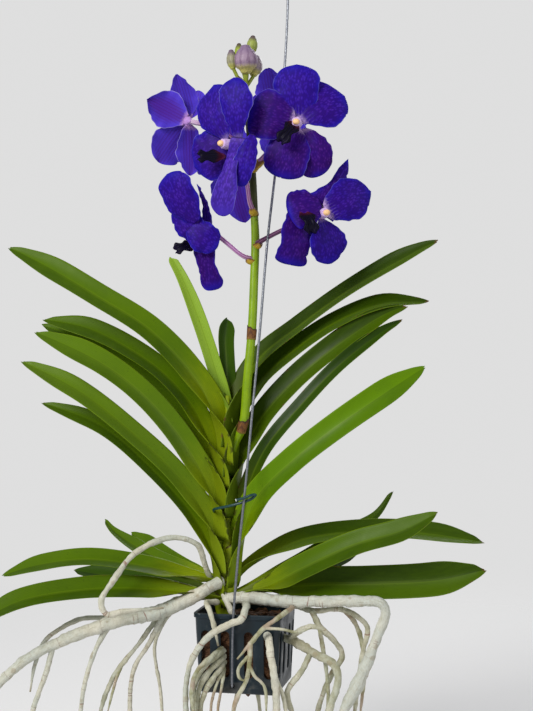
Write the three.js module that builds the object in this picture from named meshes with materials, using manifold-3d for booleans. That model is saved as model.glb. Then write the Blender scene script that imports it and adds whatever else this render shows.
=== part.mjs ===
// A vanda orchid in a small slotted pot that hangs from a steel wire.
// Millimetres, +Z up, the front faces -Y.
// Every place below is in the plant's own frame, with its origin at the foot of the stem.
// The last lines shift the whole group, so that the origin is the inside top of the wire's hook.
import * as THREE from "three";
import Module from "manifold-3d";

const wasm = await Module();
wasm.setup();

// ---------------------------------------------------------------- driving dimensions
const GAP = 0.3; // clearance between two pieces that touch
const LEAF_THICKNESS = 1.5;
const TEPAL_THICKNESS = 1.0;
const PETAL_LAYER = 1.8; // the petals start this far in front of the bloom's middle, the sepals behind it
const LIP_THICKNESS = 1.5;
const LIP_HALF_WIDTHS = [2.6, 6.4, 3.2, 6.2, 2.4]; // from its base, with the side lobes, to its tip
const COLUMN = { from: -5, to: 9, radii: [2, 4.2, 3.4, 2] }; // along the way that the bloom looks
const LEAF_STATIONS = [0, 0.08, 0.17, 0.29, 0.43, 0.57, 0.71, 0.84, 0.94, 1];
const LEAF_NOTCH = 3; // how far the middle of a leaf's tip is cut back
const LEAF_OPENING = 77; // degrees between the keel plane and each half of the open blade
const LEAF_TIP_SHARE = 0.26; // of the full width
const SHEATH_ROLL = 78; // degrees; a leaf's base clasps the stem, with its keel on the outside
const SHEATH_OPENING = 34; // degrees between the keel plane and each half of the folded base
const SHEATH_END = 0.32; // share of the leaf's length where the folded base has opened
const TEPAL_STATIONS = [0.06, 0.2, 0.4, 0.64, 0.87, 1];

const POT = {
  x: 5.7,
  y: 0,
  turn: -12, // degrees about +Z
  rimZ: -6,
  height: 70,
  halfTop: 38.5,
  halfBottom: 35.5,
  corner: 6,
  wall: 1.4,
  floor: 1.8,
  rimHeight: 4,
  rimLedge: 1.2,
  slotPlaces: [-28, -10.5, 10.5, 28],
  slotWidth: 8,
  slotTop: -21,
  slotBottom: -62,
};
const BARK_TOP_Z = -15;

const WIRE_RADIUS = 1.3;
const HOOK = { x: 24, insideTopZ: 603, insideRadius: 18 };
const HOOK_FOOT = [HOOK.x + HOOK.insideRadius + WIRE_RADIUS, 0, HOOK.insideTopZ - HOOK.insideRadius - 16];
const WIRE_HOLE = { x: -6, z: -69, radius: 2.2 };

// ---------------------------------------------------------------- materials
const standard = (color, roughness, metalness = 0) =>
  new THREE.MeshStandardMaterial({ color, roughness, metalness });
const MATERIALS = {
  leaf: standard(0x3f7a1d, 0.42),
  leafBright: standard(0x6fa83a, 0.45),
  leafDark: standard(0x234d17, 0.45),
  stem: standard(0x8a9a2a, 0.5),
  spike: standard(0x86a331, 0.45),
  tepal: standard(0x3a22a0, 0.5),
  lip: standard(0x160a24, 0.4),
  bud: standard(0x9b8aa3, 0.5),
  root: standard(0xc9c6b4, 0.85),
  pot: standard(0x1a2430, 0.35),
  bark: standard(0x4a2c1a, 0.95),
  steel: standard(0x8d949c, 0.35, 0.9),
  clip: standard(0x0f4a3c, 0.45),
};

// ---------------------------------------------------------------- the leaves
// From the foot of the stem upwards: an older leaf's base clasps the younger ones.
// side: -1 grows to the left, 1 to the right. roll: degrees from facing the front (0) to facing up (90).
// base: the width at the stem as a share of the width further out. taper: where the tip starts to narrow.
const LEAVES = [
  {
    name: "leaf_low_right_5", side: 1, width: 32, roll: 24, base: 0.5,
    route: [[-9, -7, -2], [22, -12, 11], [67, -18, 17], [113, -26, 19], [173, -36, 24], [215, -42, 34]],
  },
  {
    name: "leaf_low_left_2", side: -1, width: 26, roll: 52, base: 0.5,
    route: [[-16, -4, 0], [-50, -16, 9], [-93, -30, 15], [-138, -44, 16], [-188, -60, 9], [-225, -74, -10]],
  },
  {
    name: "leaf_low_right_4", side: 1, width: 24, roll: 44, base: 0.5, material: "leafDark",
    route: [[-7, 8, -4], [43, 42, 12], [77, 62, 22], [114, 82, 34]],
  },
  {
    name: "leaf_low_left_5", side: -1, width: 22, roll: 60, base: 0.5, material: "leafDark",
    route: [[-16, 6, 2], [-51, 20, 8], [-99, 36, 12], [-157, 50, 18]],
  },
  {
    name: "leaf_low_right_2", side: 1, width: 17, roll: 50, base: 0.5, taper: 0.5,
    route: [[-7, 4, 3], [41, 16, 24], [93, 32, 53], [126, 40, 71], [142, 42, 94]],
  },
  {
    name: "leaf_low_right_3", side: 1, width: 26, roll: 42, base: 0.35,
    route: [[-7, -2, 2], [26, -16, 15], [54, -30, 32], [101, -46, 56], [141, -56, 69], [171, -58, 85]],
  },
  {
    name: "leaf_low_left_4", side: -1, width: 22, roll: 30, base: 0.5,
    route: [[-14, 8, 10], [-52, 50, 18], [-94, 92, 37], [-109, 106, 46]],
  },
  {
    name: "leaf_low_left_1", side: -1, width: 24, roll: 58, base: 0.5,
    route: [[-16, 0, 14], [-47, -10, 23], [-93, -22, 35], [-136, -32, 41], [-175, -40, 37],
      [-205, -46, 29]],
  },
  {
    name: "leaf_low_right_1", side: 1, width: 26, roll: 54, base: 0.5,
    route: [[-11, 3, 6], [5, 8, 26], [30, 12, 41], [61, 16, 53], [117, 18, 59], [171, 12, 58],
      [220, -2, 52]],
  },
  {
    name: "leaf_low_left_3", side: -1, width: 17, roll: 50, base: 0.5, taper: 0.55,
    route: [[-16, 4, 16], [-63, 34, 26], [-97, 60, 38], [-124, 82, 52], [-133, 92, 61]],
  },
  {
    name: "leaf_left_6", side: -1, width: 19, roll: 36,
    route: [[-22, 0, -6], [-25, -3, 39], [-40, -4, 73], [-80, 2, 118], [-125, 10, 155], [-182, 20, 177]],
  },
  {
    name: "leaf_right_5", side: 1, width: 25, roll: 26, base: 1.2, material: "leafBright", taper: 0.66,
    route: [[-1, 0, 12], [4, -4, 60], [16, -16, 94], [46, -28, 126], [85, -34, 157], [129, -30, 187],
      [165, -18, 210]],
  },
  {
    name: "leaf_left_5", side: -1, width: 23, roll: 36,
    route: [[-23, 0, 22], [-28, -4, 67], [-52, -12, 108], [-97, -14, 152], [-141, -10, 186],
      [-197, 0, 215]],
  },
  {
    name: "leaf_right_4", side: 1, width: 16, roll: 34, material: "leafDark",
    route: [[0, 0, 40], [5, -4, 91], [22, -13, 135], [56, -14, 177], [90, -10, 212], [129, -2, 242],
      [147, 2, 252]],
  },
  {
    name: "leaf_left_4", side: -1, width: 25, roll: 30,
    route: [[-22, 0, 54], [-27, -4, 96], [-49, -16, 141], [-83, -24, 183], [-120, -28, 212],
      [-180, -26, 241]],
  },
  {
    name: "leaf_left_3", side: -1, width: 24, roll: 38,
    route: [[-22, 1, 80], [-26, 2, 114], [-43, 10, 152], [-73, 18, 183], [-115, 24, 216], [-156, 28, 237],
      [-184, 32, 248]],
  },
  {
    name: "leaf_right_3", side: 1, width: 25, roll: 32,
    route: [[-1, 0, 74], [2, 2, 122], [16, 6, 158], [46, 6, 194], [89, 4, 230], [132, 8, 258],
      [152, 10, 265]],
  },
  {
    name: "leaf_left_2", side: -1, width: 24, roll: 36,
    route: [[-20, 0, 100], [-24, 0, 128], [-42, 2, 172], [-66, 2, 201], [-94, 4, 222], [-135, 9, 243],
      [-180, 16, 253]],
  },
  {
    name: "leaf_right_2", side: 1, width: 25, roll: 50,
    route: [[-3, 1, 110], [1, 4, 156], [17, 12, 194], [45, 16, 221], [87, 16, 250], [130, 18, 267],
      [173, 22, 269]],
  },
  {
    name: "leaf_left_1", side: -1, width: 27, roll: 34,
    route: [[-19, 0, 122], [-21, -1, 152], [-35, -8, 191], [-77, -12, 240], [-130, -8, 274], [-175, 2, 300],
      [-210, 10, 318]],
  },
  {
    name: "leaf_right_1", side: 1, width: 26, roll: 54, taper: 0.7,
    route: [[-4, 2, 136], [0, 6, 178], [16, 16, 215], [53, 22, 246], [99, 20, 279], [163, 12, 316],
      [180, 10, 324]],
  },
  {
    name: "leaf_upright_1", side: -1, width: 20, roll: 40, base: 1, material: "leafBright", taper: 0.45,
    route: [[-12, 2, 158], [-18, 6, 190], [-32, 12, 236], [-52, 20, 288], [-64, 26, 311]],
  },
  {
    name: "leaf_upright_2", side: -1, width: 17, roll: 30, base: 1, material: "leafDark", taper: 0.84,
    route: [[-10, 10, 165], [-13, 18, 216], [-14, 24, 238], [-12, 28, 255]],
  },
];

// ---------------------------------------------------------------- the roots
// Each root is one closed solid of its main run and its branches. radius: its values from base to tip.
const ROOTS = [
  {
    name: "root_left_main",
    runs: [
      {
        radius: [4.2, 5.4, 5, 4.4, 4.2, 3.4],
        route: [[-17, -7, 18], [-43, -18, 5], [-67, -24, -5], [-109, -32, -13], [-153, -40, -28],
          [-188, -46, -46],
          [-224, -48, -85], [-236, -46, -117], [-238, -44, -157]],
      },
      {
        radius: [2.4, 2.2, 2],
        route: [[-96, -30, -11], [-113, -22, -12], [-139, -20, -13], [-155, -26, -19], [-170, -34, -30],
          [-178, -38, -50], [-182, -38, -73]],
      },
      {
        radius: [2.6, 2.2],
        route: [[-161, -42, -30], [-167, -42, -54], [-179, -42, -89], [-185, -42, -136]],
      },
      {
        radius: [2.6, 2],
        route: [[-112, -32, -14], [-124, -34, -34], [-135, -34, -67], [-142, -32, -126]],
      },
      { radius: [2.6, 2], route: [[-64, -23, -4], [-81, -14, -37], [-95, -10, -62], [-98, -8, -143]] },
      {
        radius: [2, 1.5],
        route: [[-54, -21, 0], [-66, -17, -15], [-75, -18, -37], [-70, -18, -77], [-67, -18, -121]],
      },
    ],
  },
  {
    name: "root_left_hanging",
    runs: [
      {
        radius: [2.6, 2.4, 2],
        route: [[-20, 4, 2], [-46, 0, 1], [-68, -8, -10], [-90, -14, -37], [-111, -18, -64],
          [-123, -18, -95],
          [-126, -18, -125]],
      },
      { radius: [1.8, 1.3], route: [[-105, -16, -55], [-110, -22, -70], [-116, -24, -94]] },
    ],
  },
  {
    name: "root_left_loop",
    runs: [
      {
        radius: [2.5, 2.5, 2.5, 2.5],
        route: [[-20, 6, 10], [-29, -5, 26], [-38, -20, 53], [-59, -28, 60], [-89, -40, 49],
          [-106, -53, 29],
          [-117, -62, 10], [-113, -60, -1], [-98, -54, 0], [-66, -38, 0]],
      },
    ],
  },
  {
    name: "root_over_rim",
    runs: [
      {
        radius: [2.4, 2.2],
        route: [[-20, -12, 0], [-29, -27, 3], [-26, -39, -1], [-22, -40, -14], [-18, -38, -33]],
      },
    ],
  },
  {
    name: "root_front_thick",
    runs: [
      {
        radius: [3, 3, 2.8, 2.4],
        route: [[6, -16, -1], [6, -38, 0], [2, -47, -8], [-8, -49, -12], [-26, -52, -22], [-40, -54, -41],
          [-45, -54, -63], [-45, -54, -89], [-41, -50, -138]],
      },
    ],
  },
  {
    name: "root_front_bundle",
    runs: [
      {
        radius: [2.9, 2.6, 2.4],
        route: [[-14, -34, -38], [-19, -44, -40], [-33, -49, -52], [-39, -48, -70], [-38, -46, -113]],
      },
      {
        radius: [2.9, 2.6, 2.2],
        route: [[-13, -34, -43], [-19, -44, -47], [-31, -50, -60], [-36, -50, -80], [-34, -50, -116]],
      },
      {
        radius: [2.9, 2.4, 2.2],
        route: [[-13, -34, -48], [-18, -44, -54], [-29, -50, -70], [-33, -50, -87], [-30, -50, -120]],
      },
      {
        radius: [2.2, 2],
        route: [[-15, -34, -36], [-22, -48, -39], [-36, -58, -51], [-40, -59, -70], [-36, -59, -98]],
      },
      { radius: [1.8, 1.2], route: [[-13, -36, -52], [-19, -46, -64], [-24, -49, -84], [-22, -49, -112]] },
      { radius: [1.8, 1.2], route: [[-13, -36, -54], [-15, -46, -68], [-18, -50, -88], [-15, -50, -106]] },
    ],
  },
  {
    name: "root_right_main",
    runs: [
      {
        radius: [5, 5.4, 5, 4.8, 4.2, 4.4, 5.4, 4.2],
        route: [[-9, -9, 3], [15, -20, 5], [38, -28, 4], [67, -36, 5], [104, -43, 7], [122, -46, 6],
          [127, -46, -2],
          [121, -46, -20], [104, -46, -63], [91, -46, -88], [81, -44, -130], [80, -42, -166]],
      },
    ],
  },
  {
    name: "root_right_net",
    runs: [
      {
        radius: [2.6, 2.4, 2.2],
        route: [[4, 2, -1], [30, -12, -1], [50, -18, -2], [65, -25, -5], [90, -30, -3], [107, -28, -12],
          [113, -26, -20], [109, -26, -41], [104, -26, -75], [98, -26, -123]],
      },
      { radius: [2.2, 2], route: [[93, -29, -4], [104, -18, -20], [111, -14, -51], [107, -14, -104]] },
      {
        radius: [2.6, 2.6, 2.2],
        route: [[64, -25, -5], [71, -24, -19], [83, -22, -31], [91, -20, -45], [80, -22, -65],
          [69, -24, -94],
          [61, -24, -150]],
      },
      { radius: [2, 1.7], route: [[70, -24, -18], [73, -30, -34], [78, -32, -73], [76, -32, -112]] },
    ],
  },
  {
    name: "root_right_slot",
    runs: [
      {
        radius: [3.4, 4, 3.8, 3.2],
        route: [[36, -16, -29], [48, -24, -32], [66, -37, -40], [82, -44, -48], [86, -46, -60],
          [78, -46, -88],
          [75, -44, -113]],
      },
      { radius: [2.6, 2.6], route: [[44, -22, -30], [52, -36, -21], [63, -44, -15], [75, -45, -18]] },
      {
        radius: [2.8, 2.6],
        route: [[63, -35, -39], [54, -42, -55], [42, -46, -71], [46, -44, -90], [51, -44, -118]],
      },
    ],
  },
  {
    name: "root_front_slot",
    runs: [
      {
        radius: [3.4, 3.3, 3.2, 2.8],
        route: [[24, -38, -22], [26, -50, -26], [28, -57, -40], [32, -58, -66], [33, -54, -119],
          [32, -52, -150]],
      },
      { radius: [2.2, 1.8], route: [[30, -58, -55], [38, -53, -72], [43, -52, -107]] },
    ],
  },
  {
    name: "root_front_net",
    runs: [
      {
        radius: [2.2, 2.2, 2],
        route: [[50, -20, -1], [44, -40, -1], [33, -50, -7], [21, -55, -15], [11, -57, -26],
          [-1, -58, -40]],
      },
      { radius: [1.5, 1.2], route: [[22, -55, -14], [37, -56, -15], [50, -53, -18], [63, -50, -15]] },
      {
        radius: [2.2, 2, 1.8],
        route: [[10, -57, -27], [9, -59, -45], [7, -60, -57], [-3, -59, -79], [-6, -58, -118]],
      },
      { radius: [1.7, 1.5], route: [[8, -58, -38], [0, -62, -48], [1, -63, -55], [7, -60, -59]] },
      { radius: [1.6, 1.3], route: [[9, -60, -45], [14, -61, -54], [22, -63, -62], [24, -63, -89]] },
    ],
  },
  {
    name: "root_stub",
    runs: [{ radius: [2.6, 3, 3], route: [[-14, -8, 6], [-11, -14, 0], [-4, -18, -12]] }],
  },
  {
    name: "root_back",
    runs: [
      {
        radius: [3, 2.8, 2.2],
        route: [[0, 6, 0], [10, 34, 0], [14, 47, -14], [12, 50, -60], [20, 48, -128]],
      },
      { radius: [2.2, 1.8], route: [[12, 49, -22], [4, 54, -50], [-6, 54, -104]] },
    ],
  },
];

// ---------------------------------------------------------------- the blooms
// centre: where the tepals meet. faces: where the bloom looks. A tepal's tip is given from the centre.
const BLOOMS = [
  {
    centre: [-47, 12.5, 433], faces: [-0.35, 0.92, 0.14], lip: [-8, 15, -14],
    tepals: [
      { tip: [-9, 6, 43], width: 32 },
      { tip: [13, 18, 27], width: 26, faces: [0.8, 0.5, 0], petal: true },
      { tip: [-38, -2, 17], width: 34, petal: true },
      { tip: [-26, 2, -36], width: 34 },
      { tip: [5, 8, -49], width: 28 },
    ],
  },
  {
    centre: [-7, -38, 404], faces: [-0.8, -0.6, 0], lip: [-24, -7, -12],
    tepals: [
      { tip: [-4, -4, 59], width: 34, faces: [-0.35, -0.93, 0.1] },
      { tip: [-17, 10, 53], width: 33, faces: [-0.5, -0.86, 0], petal: true },
      { tip: [-30, 10, -30], width: 38, faces: [-0.4, -0.9, 0] },
      { tip: [-9, -16, -62], width: 32, faces: [-0.75, -0.65, 0] },
      { tip: [18, -6, -36], width: 30, faces: [0.3, -0.95, 0], petal: true },
    ],
  },
  {
    centre: [51, -32, 423], faces: [-0.1, -1, 0.05], lip: [-16, -12, -16],
    tepals: [
      { tip: [-2, -3, 51], width: 40 },
      { tip: [41, 5, 26], width: 39, petal: true },
      { tip: [18, 0, -45], width: 34 },
      { tip: [-15, -3, -47], width: 40 },
      { tip: [-43, 2, 13], width: 43, petal: true },
    ],
  },
  {
    centre: [-37, -6.5, 338], faces: [-0.85, -0.38, -0.3], lip: [-17, -8, -25],
    tepals: [
      { tip: [-25, -6, 42], width: 36, faces: [-0.5, -0.85, -0.2] },
      { tip: [0, 20, 40], width: 30, faces: [-0.9, 0.2, 0], petal: true },
      { tip: [-1, -18, -32], width: 46, faces: [-0.4, -0.85, 0.3], petal: true },
      { tip: [-10, 26, -30], width: 34, faces: [-0.7, 0.1, -0.7] },
      { tip: [11, 6, -59], width: 24, faces: [-0.3, -0.95, 0] },
    ],
  },
  {
    centre: [72, -20, 345], faces: [0.45, -0.88, 0.1], lip: [-8, -15, -16],
    tepals: [
      { tip: [23, 6, 48], width: 26, faces: [0.75, -0.6, 0.2] },
      { tip: [43, 16, 19], width: 38, petal: true },
      { tip: [10, 4, -43], width: 36 },
      { tip: [-27, -10, -44], width: 33 },
      { tip: [-38, -14, 14], width: 38, faces: [0.35, -0.8, 0.45], petal: true },
    ],
  },
  {
    centre: [32, 34, 442], faces: [0.1, 0.97, 0.15], lip: [-2, 14, -15],
    tepals: [
      { tip: [-4, 2, 47], width: 30 },
      { tip: [38, 4, 12], width: 34, petal: true },
      { tip: [27, 2, -34], width: 32 },
      { tip: [3, 4, -43], width: 32 },
      { tip: [-32, 8, 8], width: 32, petal: true },
    ],
  },
  {
    centre: [-9, 32, 396], faces: [-0.25, 0.96, -0.1], lip: [-5, 15, -14],
    tepals: [
      { tip: [0, 6, 44], width: 32 },
      { tip: [14, 36, 10], width: 32, faces: [-0.9, 0.3, 0], petal: true },
      { tip: [13, -2, -54], width: 26 },
      { tip: [-22, 6, -40], width: 32 },
      { tip: [-40, 8, 8], width: 34, petal: true },
    ],
  },
];

// ---------------------------------------------------------------- the flower spike
const RACHIS = {
  route: [[-9, 2, 120], [-5, -1, 140], [3, -10, 158], [7, -15, 198], [11, -12, 243], [13, -6, 290],
    [14, -2, 324],
    [13, 0, 348], [11, 0, 391], [8, 0, 430], [5, 0, 468]],
  radius: [3.6, 4, 4, 3.8, 3.7, 3.4, 3, 2.4],
};
// One stalk a bloom, in the blooms' order: it starts inside the rachis and ends at the bloom's back.
const STALKS = [
  [[10, 2, 408], [-5, 10, 416], [-25, 9, 427]],
  [[13, -1, 348], [9, -10, 357], [6, -22, 376]],
  [[11, -1, 388], [17, -9, 393], [32, -18, 407]],
  [[14, -3, 306], [3, -8, 309], [-12, -9, 321]],
  [[14, -2, 320], [21, -12, 323], [38, -20, 331]],
  [[9, 1, 422], [18, 14, 428]],
  [[12, 1, 374], [4, 14, 384]],
];
const STALK_SEAT = 4; // the stalk ends this far behind the bloom's middle
const STALK_RADIUS = [2.4, 1.9, 1.9, 2.2];
const BRACT_LENGTH = 9;

// The large bud has its own colour. The small ones are one piece with the spike.
const LARGE_BUD = { foot: [6, -3, 474], tip: [6, -6, 500], radius: 10 };
const SMALL_BUDS = [
  { stalk: [[6, 0, 462], [12, 4, 472]], foot: [12, 5, 472], tip: [15, 8, 492], radius: 7 },
  { stalk: [[6, 0, 455], [0, -2, 466], [-6, -3, 478]], foot: [-6, -3, 476], tip: [-8, -3, 495], radius: 5 },
  { stalk: [[5, 0, 468], [10, 6, 492]], foot: [10, 7, 492], tip: [12, 7, 510], radius: 5 },
  { stalk: [[5, 0, 468], [0, 6, 488]], foot: [0, 6, 486], tip: [-1, 7, 503], radius: 4.5 },
  { stalk: [[6, 0, 450], [3, -3, 460]], foot: [4, -3, 458], tip: [-2, -6, 470], radius: 4 },
];

// ---------------------------------------------------------------- the stem and what ties it
// Overlapping sheaths of old leaf bases, alternately to the left and to the right.
const STEM = {
  foot: [-14, 0, -20],
  bend: [-11, 0, 50],
  top: [-11, 0, 184],
  sheaths: 4,
  sheathedShare: 0.3, // of the stem's length, from its foot up
  sides: 8,
  halfWidths: [7, 9.5, 9.5, 7, 5, 4.4, 4, 3.8, 3.5, 3, 2.5],
  depthShare: 0.7,
  lean: 3,
};
const WIRE_ROUTE = [
  [-5, -41, -10], [-1, -40, 42], [6, -37, 110], [11, -32, 165], [18, -25, 240], [25, -17, 323],
  [32, -9, 385], [39, -3, 460], [43, 0, 530],
];
const CLIP = {
  radius: 1.2,
  route: [[-23, -4, 80], [-22, -20, 84], [-9, -31, 88], [4.3, -34.8, 92], [11, -36, 95],
    [14.5, -38, 98.5], [11, -40, 98.5], [4.3, -40.6, 96], [-3, -41, 94]],
};

// ---------------------------------------------------------------- helpers
const { degToRad, lerp, smoothstep, clamp } = THREE.MathUtils;
const vec = (place) => new THREE.Vector3(...place);
const BACK = new THREE.Vector3(0, 1, 0);
const smoothCurve = (route) => new THREE.CatmullRomCurve3(route.map(vec), false, "centripetal");

/** Reads a list of values as a smooth profile from u = 0 to u = 1. */
function profile(values, u) {
  const place = clamp(u, 0, 1) * (values.length - 1);
  const first = Math.min(Math.floor(place), values.length - 2);
  return lerp(values[first], values[first + 1], smoothstep(place - first, 0, 1));
}

/** A manifold-3d solid of points and triangles, turned to face out. */
function solidOf(points, triangles) {
  const vertProperties = Float32Array.from(points.flatMap((p) => [p.x, p.y, p.z]));
  const build = (faces) => {
    const triVerts = Uint32Array.from(faces.flat());
    return new wasm.Manifold(new wasm.Mesh({ numProp: 3, vertProperties, triVerts }));
  };
  const solid = build(triangles);
  return solid.volume() > 0 ? solid : build(triangles.map(([a, b, c]) => [a, c, b]));
}

/** A closed solid through rings of equally many points, with flat ends. */
function loft(rings) {
  const count = rings[0].length;
  const triangles = [];
  for (let r = 0; r < rings.length - 1; r++) {
    for (let i = 0; i < count; i++) {
      const a = r * count + i;
      const b = r * count + ((i + 1) % count);
      triangles.push([a, b, b + count], [a, b + count, a + count]);
    }
  }
  const last = (rings.length - 1) * count;
  for (let i = 1; i < count - 1; i++) {
    triangles.push([0, i + 1, i], [last, last + i, last + i + 1]);
  }
  return solidOf(rings.flat(), triangles);
}

/**
 * A tube of changing radius along a smooth route, without twist. It has a ring at every even step,
 * or at the route's own points where steps is 0.
 */
function tube(route, radii, sides, steps, grow) {
  const curve = smoothCurve(route);
  const last = steps || route.length - 1;
  const seed = Math.abs(curve.getTangent(0).y) > 0.9 ? new THREE.Vector3(1, 0, 0) : BACK;
  let across = seed.clone();
  const rings = Array.from({ length: last + 1 }, (_, k) => {
    const u = k / last;
    const centre = steps ? curve.getPointAt(u) : curve.getPoint(u);
    const along = steps ? curve.getTangentAt(u) : curve.getTangent(u);
    centre.addScaledVector(along, k === 0 ? -grow : k === last ? grow : 0);
    across = across.addScaledVector(along, -across.dot(along)).normalize();
    const aside = along.clone().cross(across);
    const radius = profile(radii, u) + grow;
    return Array.from({ length: sides }, (_, i) => {
      const angle = (2 * Math.PI * i) / sides;
      return centre
        .clone()
        .addScaledVector(across, radius * Math.cos(angle))
        .addScaledVector(aside, radius * Math.sin(angle));
    });
  });
  return loft(rings);
}

/** A blade of even thickness about a grid of points, split alike on both faces. */
function blade(grid, thickness, grow) {
  const rows = grid.length;
  const columns = grid[0].length;
  const at = (i, j) => grid[clamp(i, 0, rows - 1)][clamp(j, 0, columns - 1)];
  const half = thickness / 2 + grow;
  const faces = [[], []];
  for (let i = 0; i < rows; i++) {
    for (let j = 0; j < columns; j++) {
      const along = at(i + 1, j).clone().sub(at(i - 1, j)).normalize();
      const across = at(i, j + 1).clone().sub(at(i, j - 1)).normalize();
      const normal = along.clone().cross(across).normalize();
      const middle = at(i, j)
        .clone()
        .addScaledVector(along, i === 0 ? -grow : i === rows - 1 ? grow : 0)
        .addScaledVector(across, j === 0 ? -grow : j === columns - 1 ? grow : 0);
      faces[0].push(middle.clone().addScaledVector(normal, half));
      faces[1].push(middle.addScaledVector(normal, -half));
    }
  }
  const under = rows * columns;
  const triangles = [];
  // the wall below an edge a-b of the upper face, which runs round that face as its triangles do
  const wall = (a, b) => triangles.push([b, a, a + under], [b, a + under, b + under]);
  for (let i = 0; i < rows - 1; i++) {
    for (let j = 0; j < columns - 1; j++) {
      const a = i * columns + j;
      const d = a + columns;
      triangles.push([a, a + 1, d + 1], [a, d + 1, d]);
      triangles.push([a + under, d + 1 + under, a + 1 + under], [a + under, d + under, d + 1 + under]);
    }
    wall((i + 1) * columns, i * columns);
    wall((i + 1) * columns - 1, (i + 2) * columns - 1);
  }
  for (let j = 0; j < columns - 1; j++) {
    wall(j, j + 1);
    wall((rows - 1) * columns + j + 1, (rows - 1) * columns + j);
  }
  return solidOf([...faces[0], ...faces[1]], triangles);
}

const union = (solids) => solids.reduce((sum, solid) => sum.add(solid));

/** The largest of the bodies that a cut leaves. */
function largest(solid) {
  return solid.decompose().reduce((best, body) => (body.volume() > best.volume() ? body : best));
}

// ---------------------------------------------------------------- the pieces
/** A strap leaf: folded round the stem at its base, open with a shallow keel further out. */
function leafSolid({ route, side, width, roll, base = 1.45, taper = 0.78 }, grow) {
  const curve = smoothCurve(route);
  const grid = LEAF_STATIONS.map((u, row) => {
    const centre = curve.getPointAt(u);
    const along = curve.getTangentAt(u);
    const upward = new THREE.Vector3(-side * along.z, 0, side * along.x).normalize();
    const unfolding = smoothstep(u, 0.04, SHEATH_END);
    const turn = degToRad(lerp(SHEATH_ROLL, roll, unfolding));
    const opening = degToRad(lerp(SHEATH_OPENING, LEAF_OPENING, unfolding));
    const across = upward.clone().multiplyScalar(Math.cos(turn)).addScaledVector(BACK, Math.sin(turn));
    across.addScaledVector(along, -across.dot(along)).normalize();
    const lift = along.clone().cross(across).multiplyScalar(side).normalize();
    const narrowing = 1 - (1 - LEAF_TIP_SHARE) * smoothstep(u, taper, 1.02) ** 1.6;
    const half = (width / 2) * narrowing * lerp(base, 1, unfolding);
    return [-1, 0, 1].map((v) => {
      const point = centre.clone();
      point.addScaledVector(across, v * half * Math.sin(opening));
      point.addScaledVector(lift, Math.abs(v) * half * Math.cos(opening));
      if (v === 0 && row === LEAF_STATIONS.length - 1) point.addScaledVector(along, -LEAF_NOTCH);
      return point;
    });
  });
  return blade(grid, LEAF_THICKNESS, grow);
}

/** A root with its branches, in one body. */
function rootSolid({ runs }, grow) {
  return union(
    runs.map(({ route, radius }) => {
      const length = smoothCurve(route).getLength();
      const steps = clamp(Math.round(length / (8.5 * radius[0])), 3, 12);
      const tip = radius[radius.length - 1];
      const sides = radius[0] > 2.6 ? 6 : 5;
      return tube(route, [...radius, tip, 0.6 * tip], sides, steps, grow);
    }),
  );
}

/** One tepal: a narrow claw that widens to a broad, rounded, slightly waved blade. */
function tepalSolid(start, faces, { tip, width }, grow) {
  const reach = vec(tip);
  const length = reach.length();
  const along = reach.normalize();
  const across = along.clone().cross(faces).normalize();
  const front = across.clone().cross(along).normalize();
  const grid = TEPAL_STATIONS.map((u) => {
    const broad = Math.sin(Math.PI * u ** 1.6) ** 0.7;
    const rounded = Math.sqrt(Math.max(0, 1 - ((u - 0.62) / 0.4) ** 2));
    const half = (width / 2) * Math.max(0.1, u < 0.7 ? broad : rounded);
    return [-1, 0, 1].map((v) => {
      const wave = 0.015 * length * Math.sin(5 * u + 2.5 * v) * Math.abs(v);
      const rounding = -0.1 * length * v * v * smoothstep(u, 0.6, 1);
      const bulge = 0.1 * length * Math.sin(Math.PI * u) - 0.08 * width * v * v * u;
      return start
        .clone()
        .addScaledVector(along, length * u + rounding)
        .addScaledVector(across, v * half)
        .addScaledVector(front, bulge + wave);
    });
  });
  return blade(grid, TEPAL_THICKNESS, grow);
}

/** The five tepals of a bloom, held by its short column. */
function tepalsSolid({ centre, faces, tepals }, grow) {
  const look = vec(faces).normalize();
  const middle = vec(centre);
  const ends = [COLUMN.from, COLUMN.to].map((d) => middle.clone().addScaledVector(look, d).toArray());
  const column = tube(ends, COLUMN.radii, 5, COLUMN.radii.length - 1, grow);
  const blades = tepals.map((tepal) => {
    const start = middle.clone().addScaledVector(look, tepal.petal ? PETAL_LAYER : -PETAL_LAYER);
    return tepalSolid(start, vec(tepal.faces ?? faces).normalize(), tepal, grow);
  });
  return union([column, ...blades]);
}

/** The lip: a dark strap below the column, with a lobe on each side near its base. */
function lipSolid({ centre, faces, lip }, grow) {
  const look = vec(faces).normalize();
  const reach = vec(lip);
  const across = reach.clone().cross(look).normalize();
  const start = vec(centre).addScaledVector(look, 3);
  const grid = LIP_HALF_WIDTHS.map((half, i) => {
    const u = i / (LIP_HALF_WIDTHS.length - 1);
    return [-1, 0, 1].map((v) =>
      start
        .clone()
        .addScaledVector(reach, 1.1 * u)
        .addScaledVector(across, v * half)
        .addScaledVector(look, 5 * Math.sin(Math.PI * u) + 2 * Math.abs(v)));
  });
  return blade(grid, LIP_THICKNESS, grow);
}

/** A bud: an egg on its stalk's end. */
function budSolid({ foot, tip, radius }, sides, grow) {
  const radii = [0.35, 0.95, 0.95, 0.3].map((share) => share * radius);
  return tube([foot, tip], radii, sides, radii.length - 1, grow);
}

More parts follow.
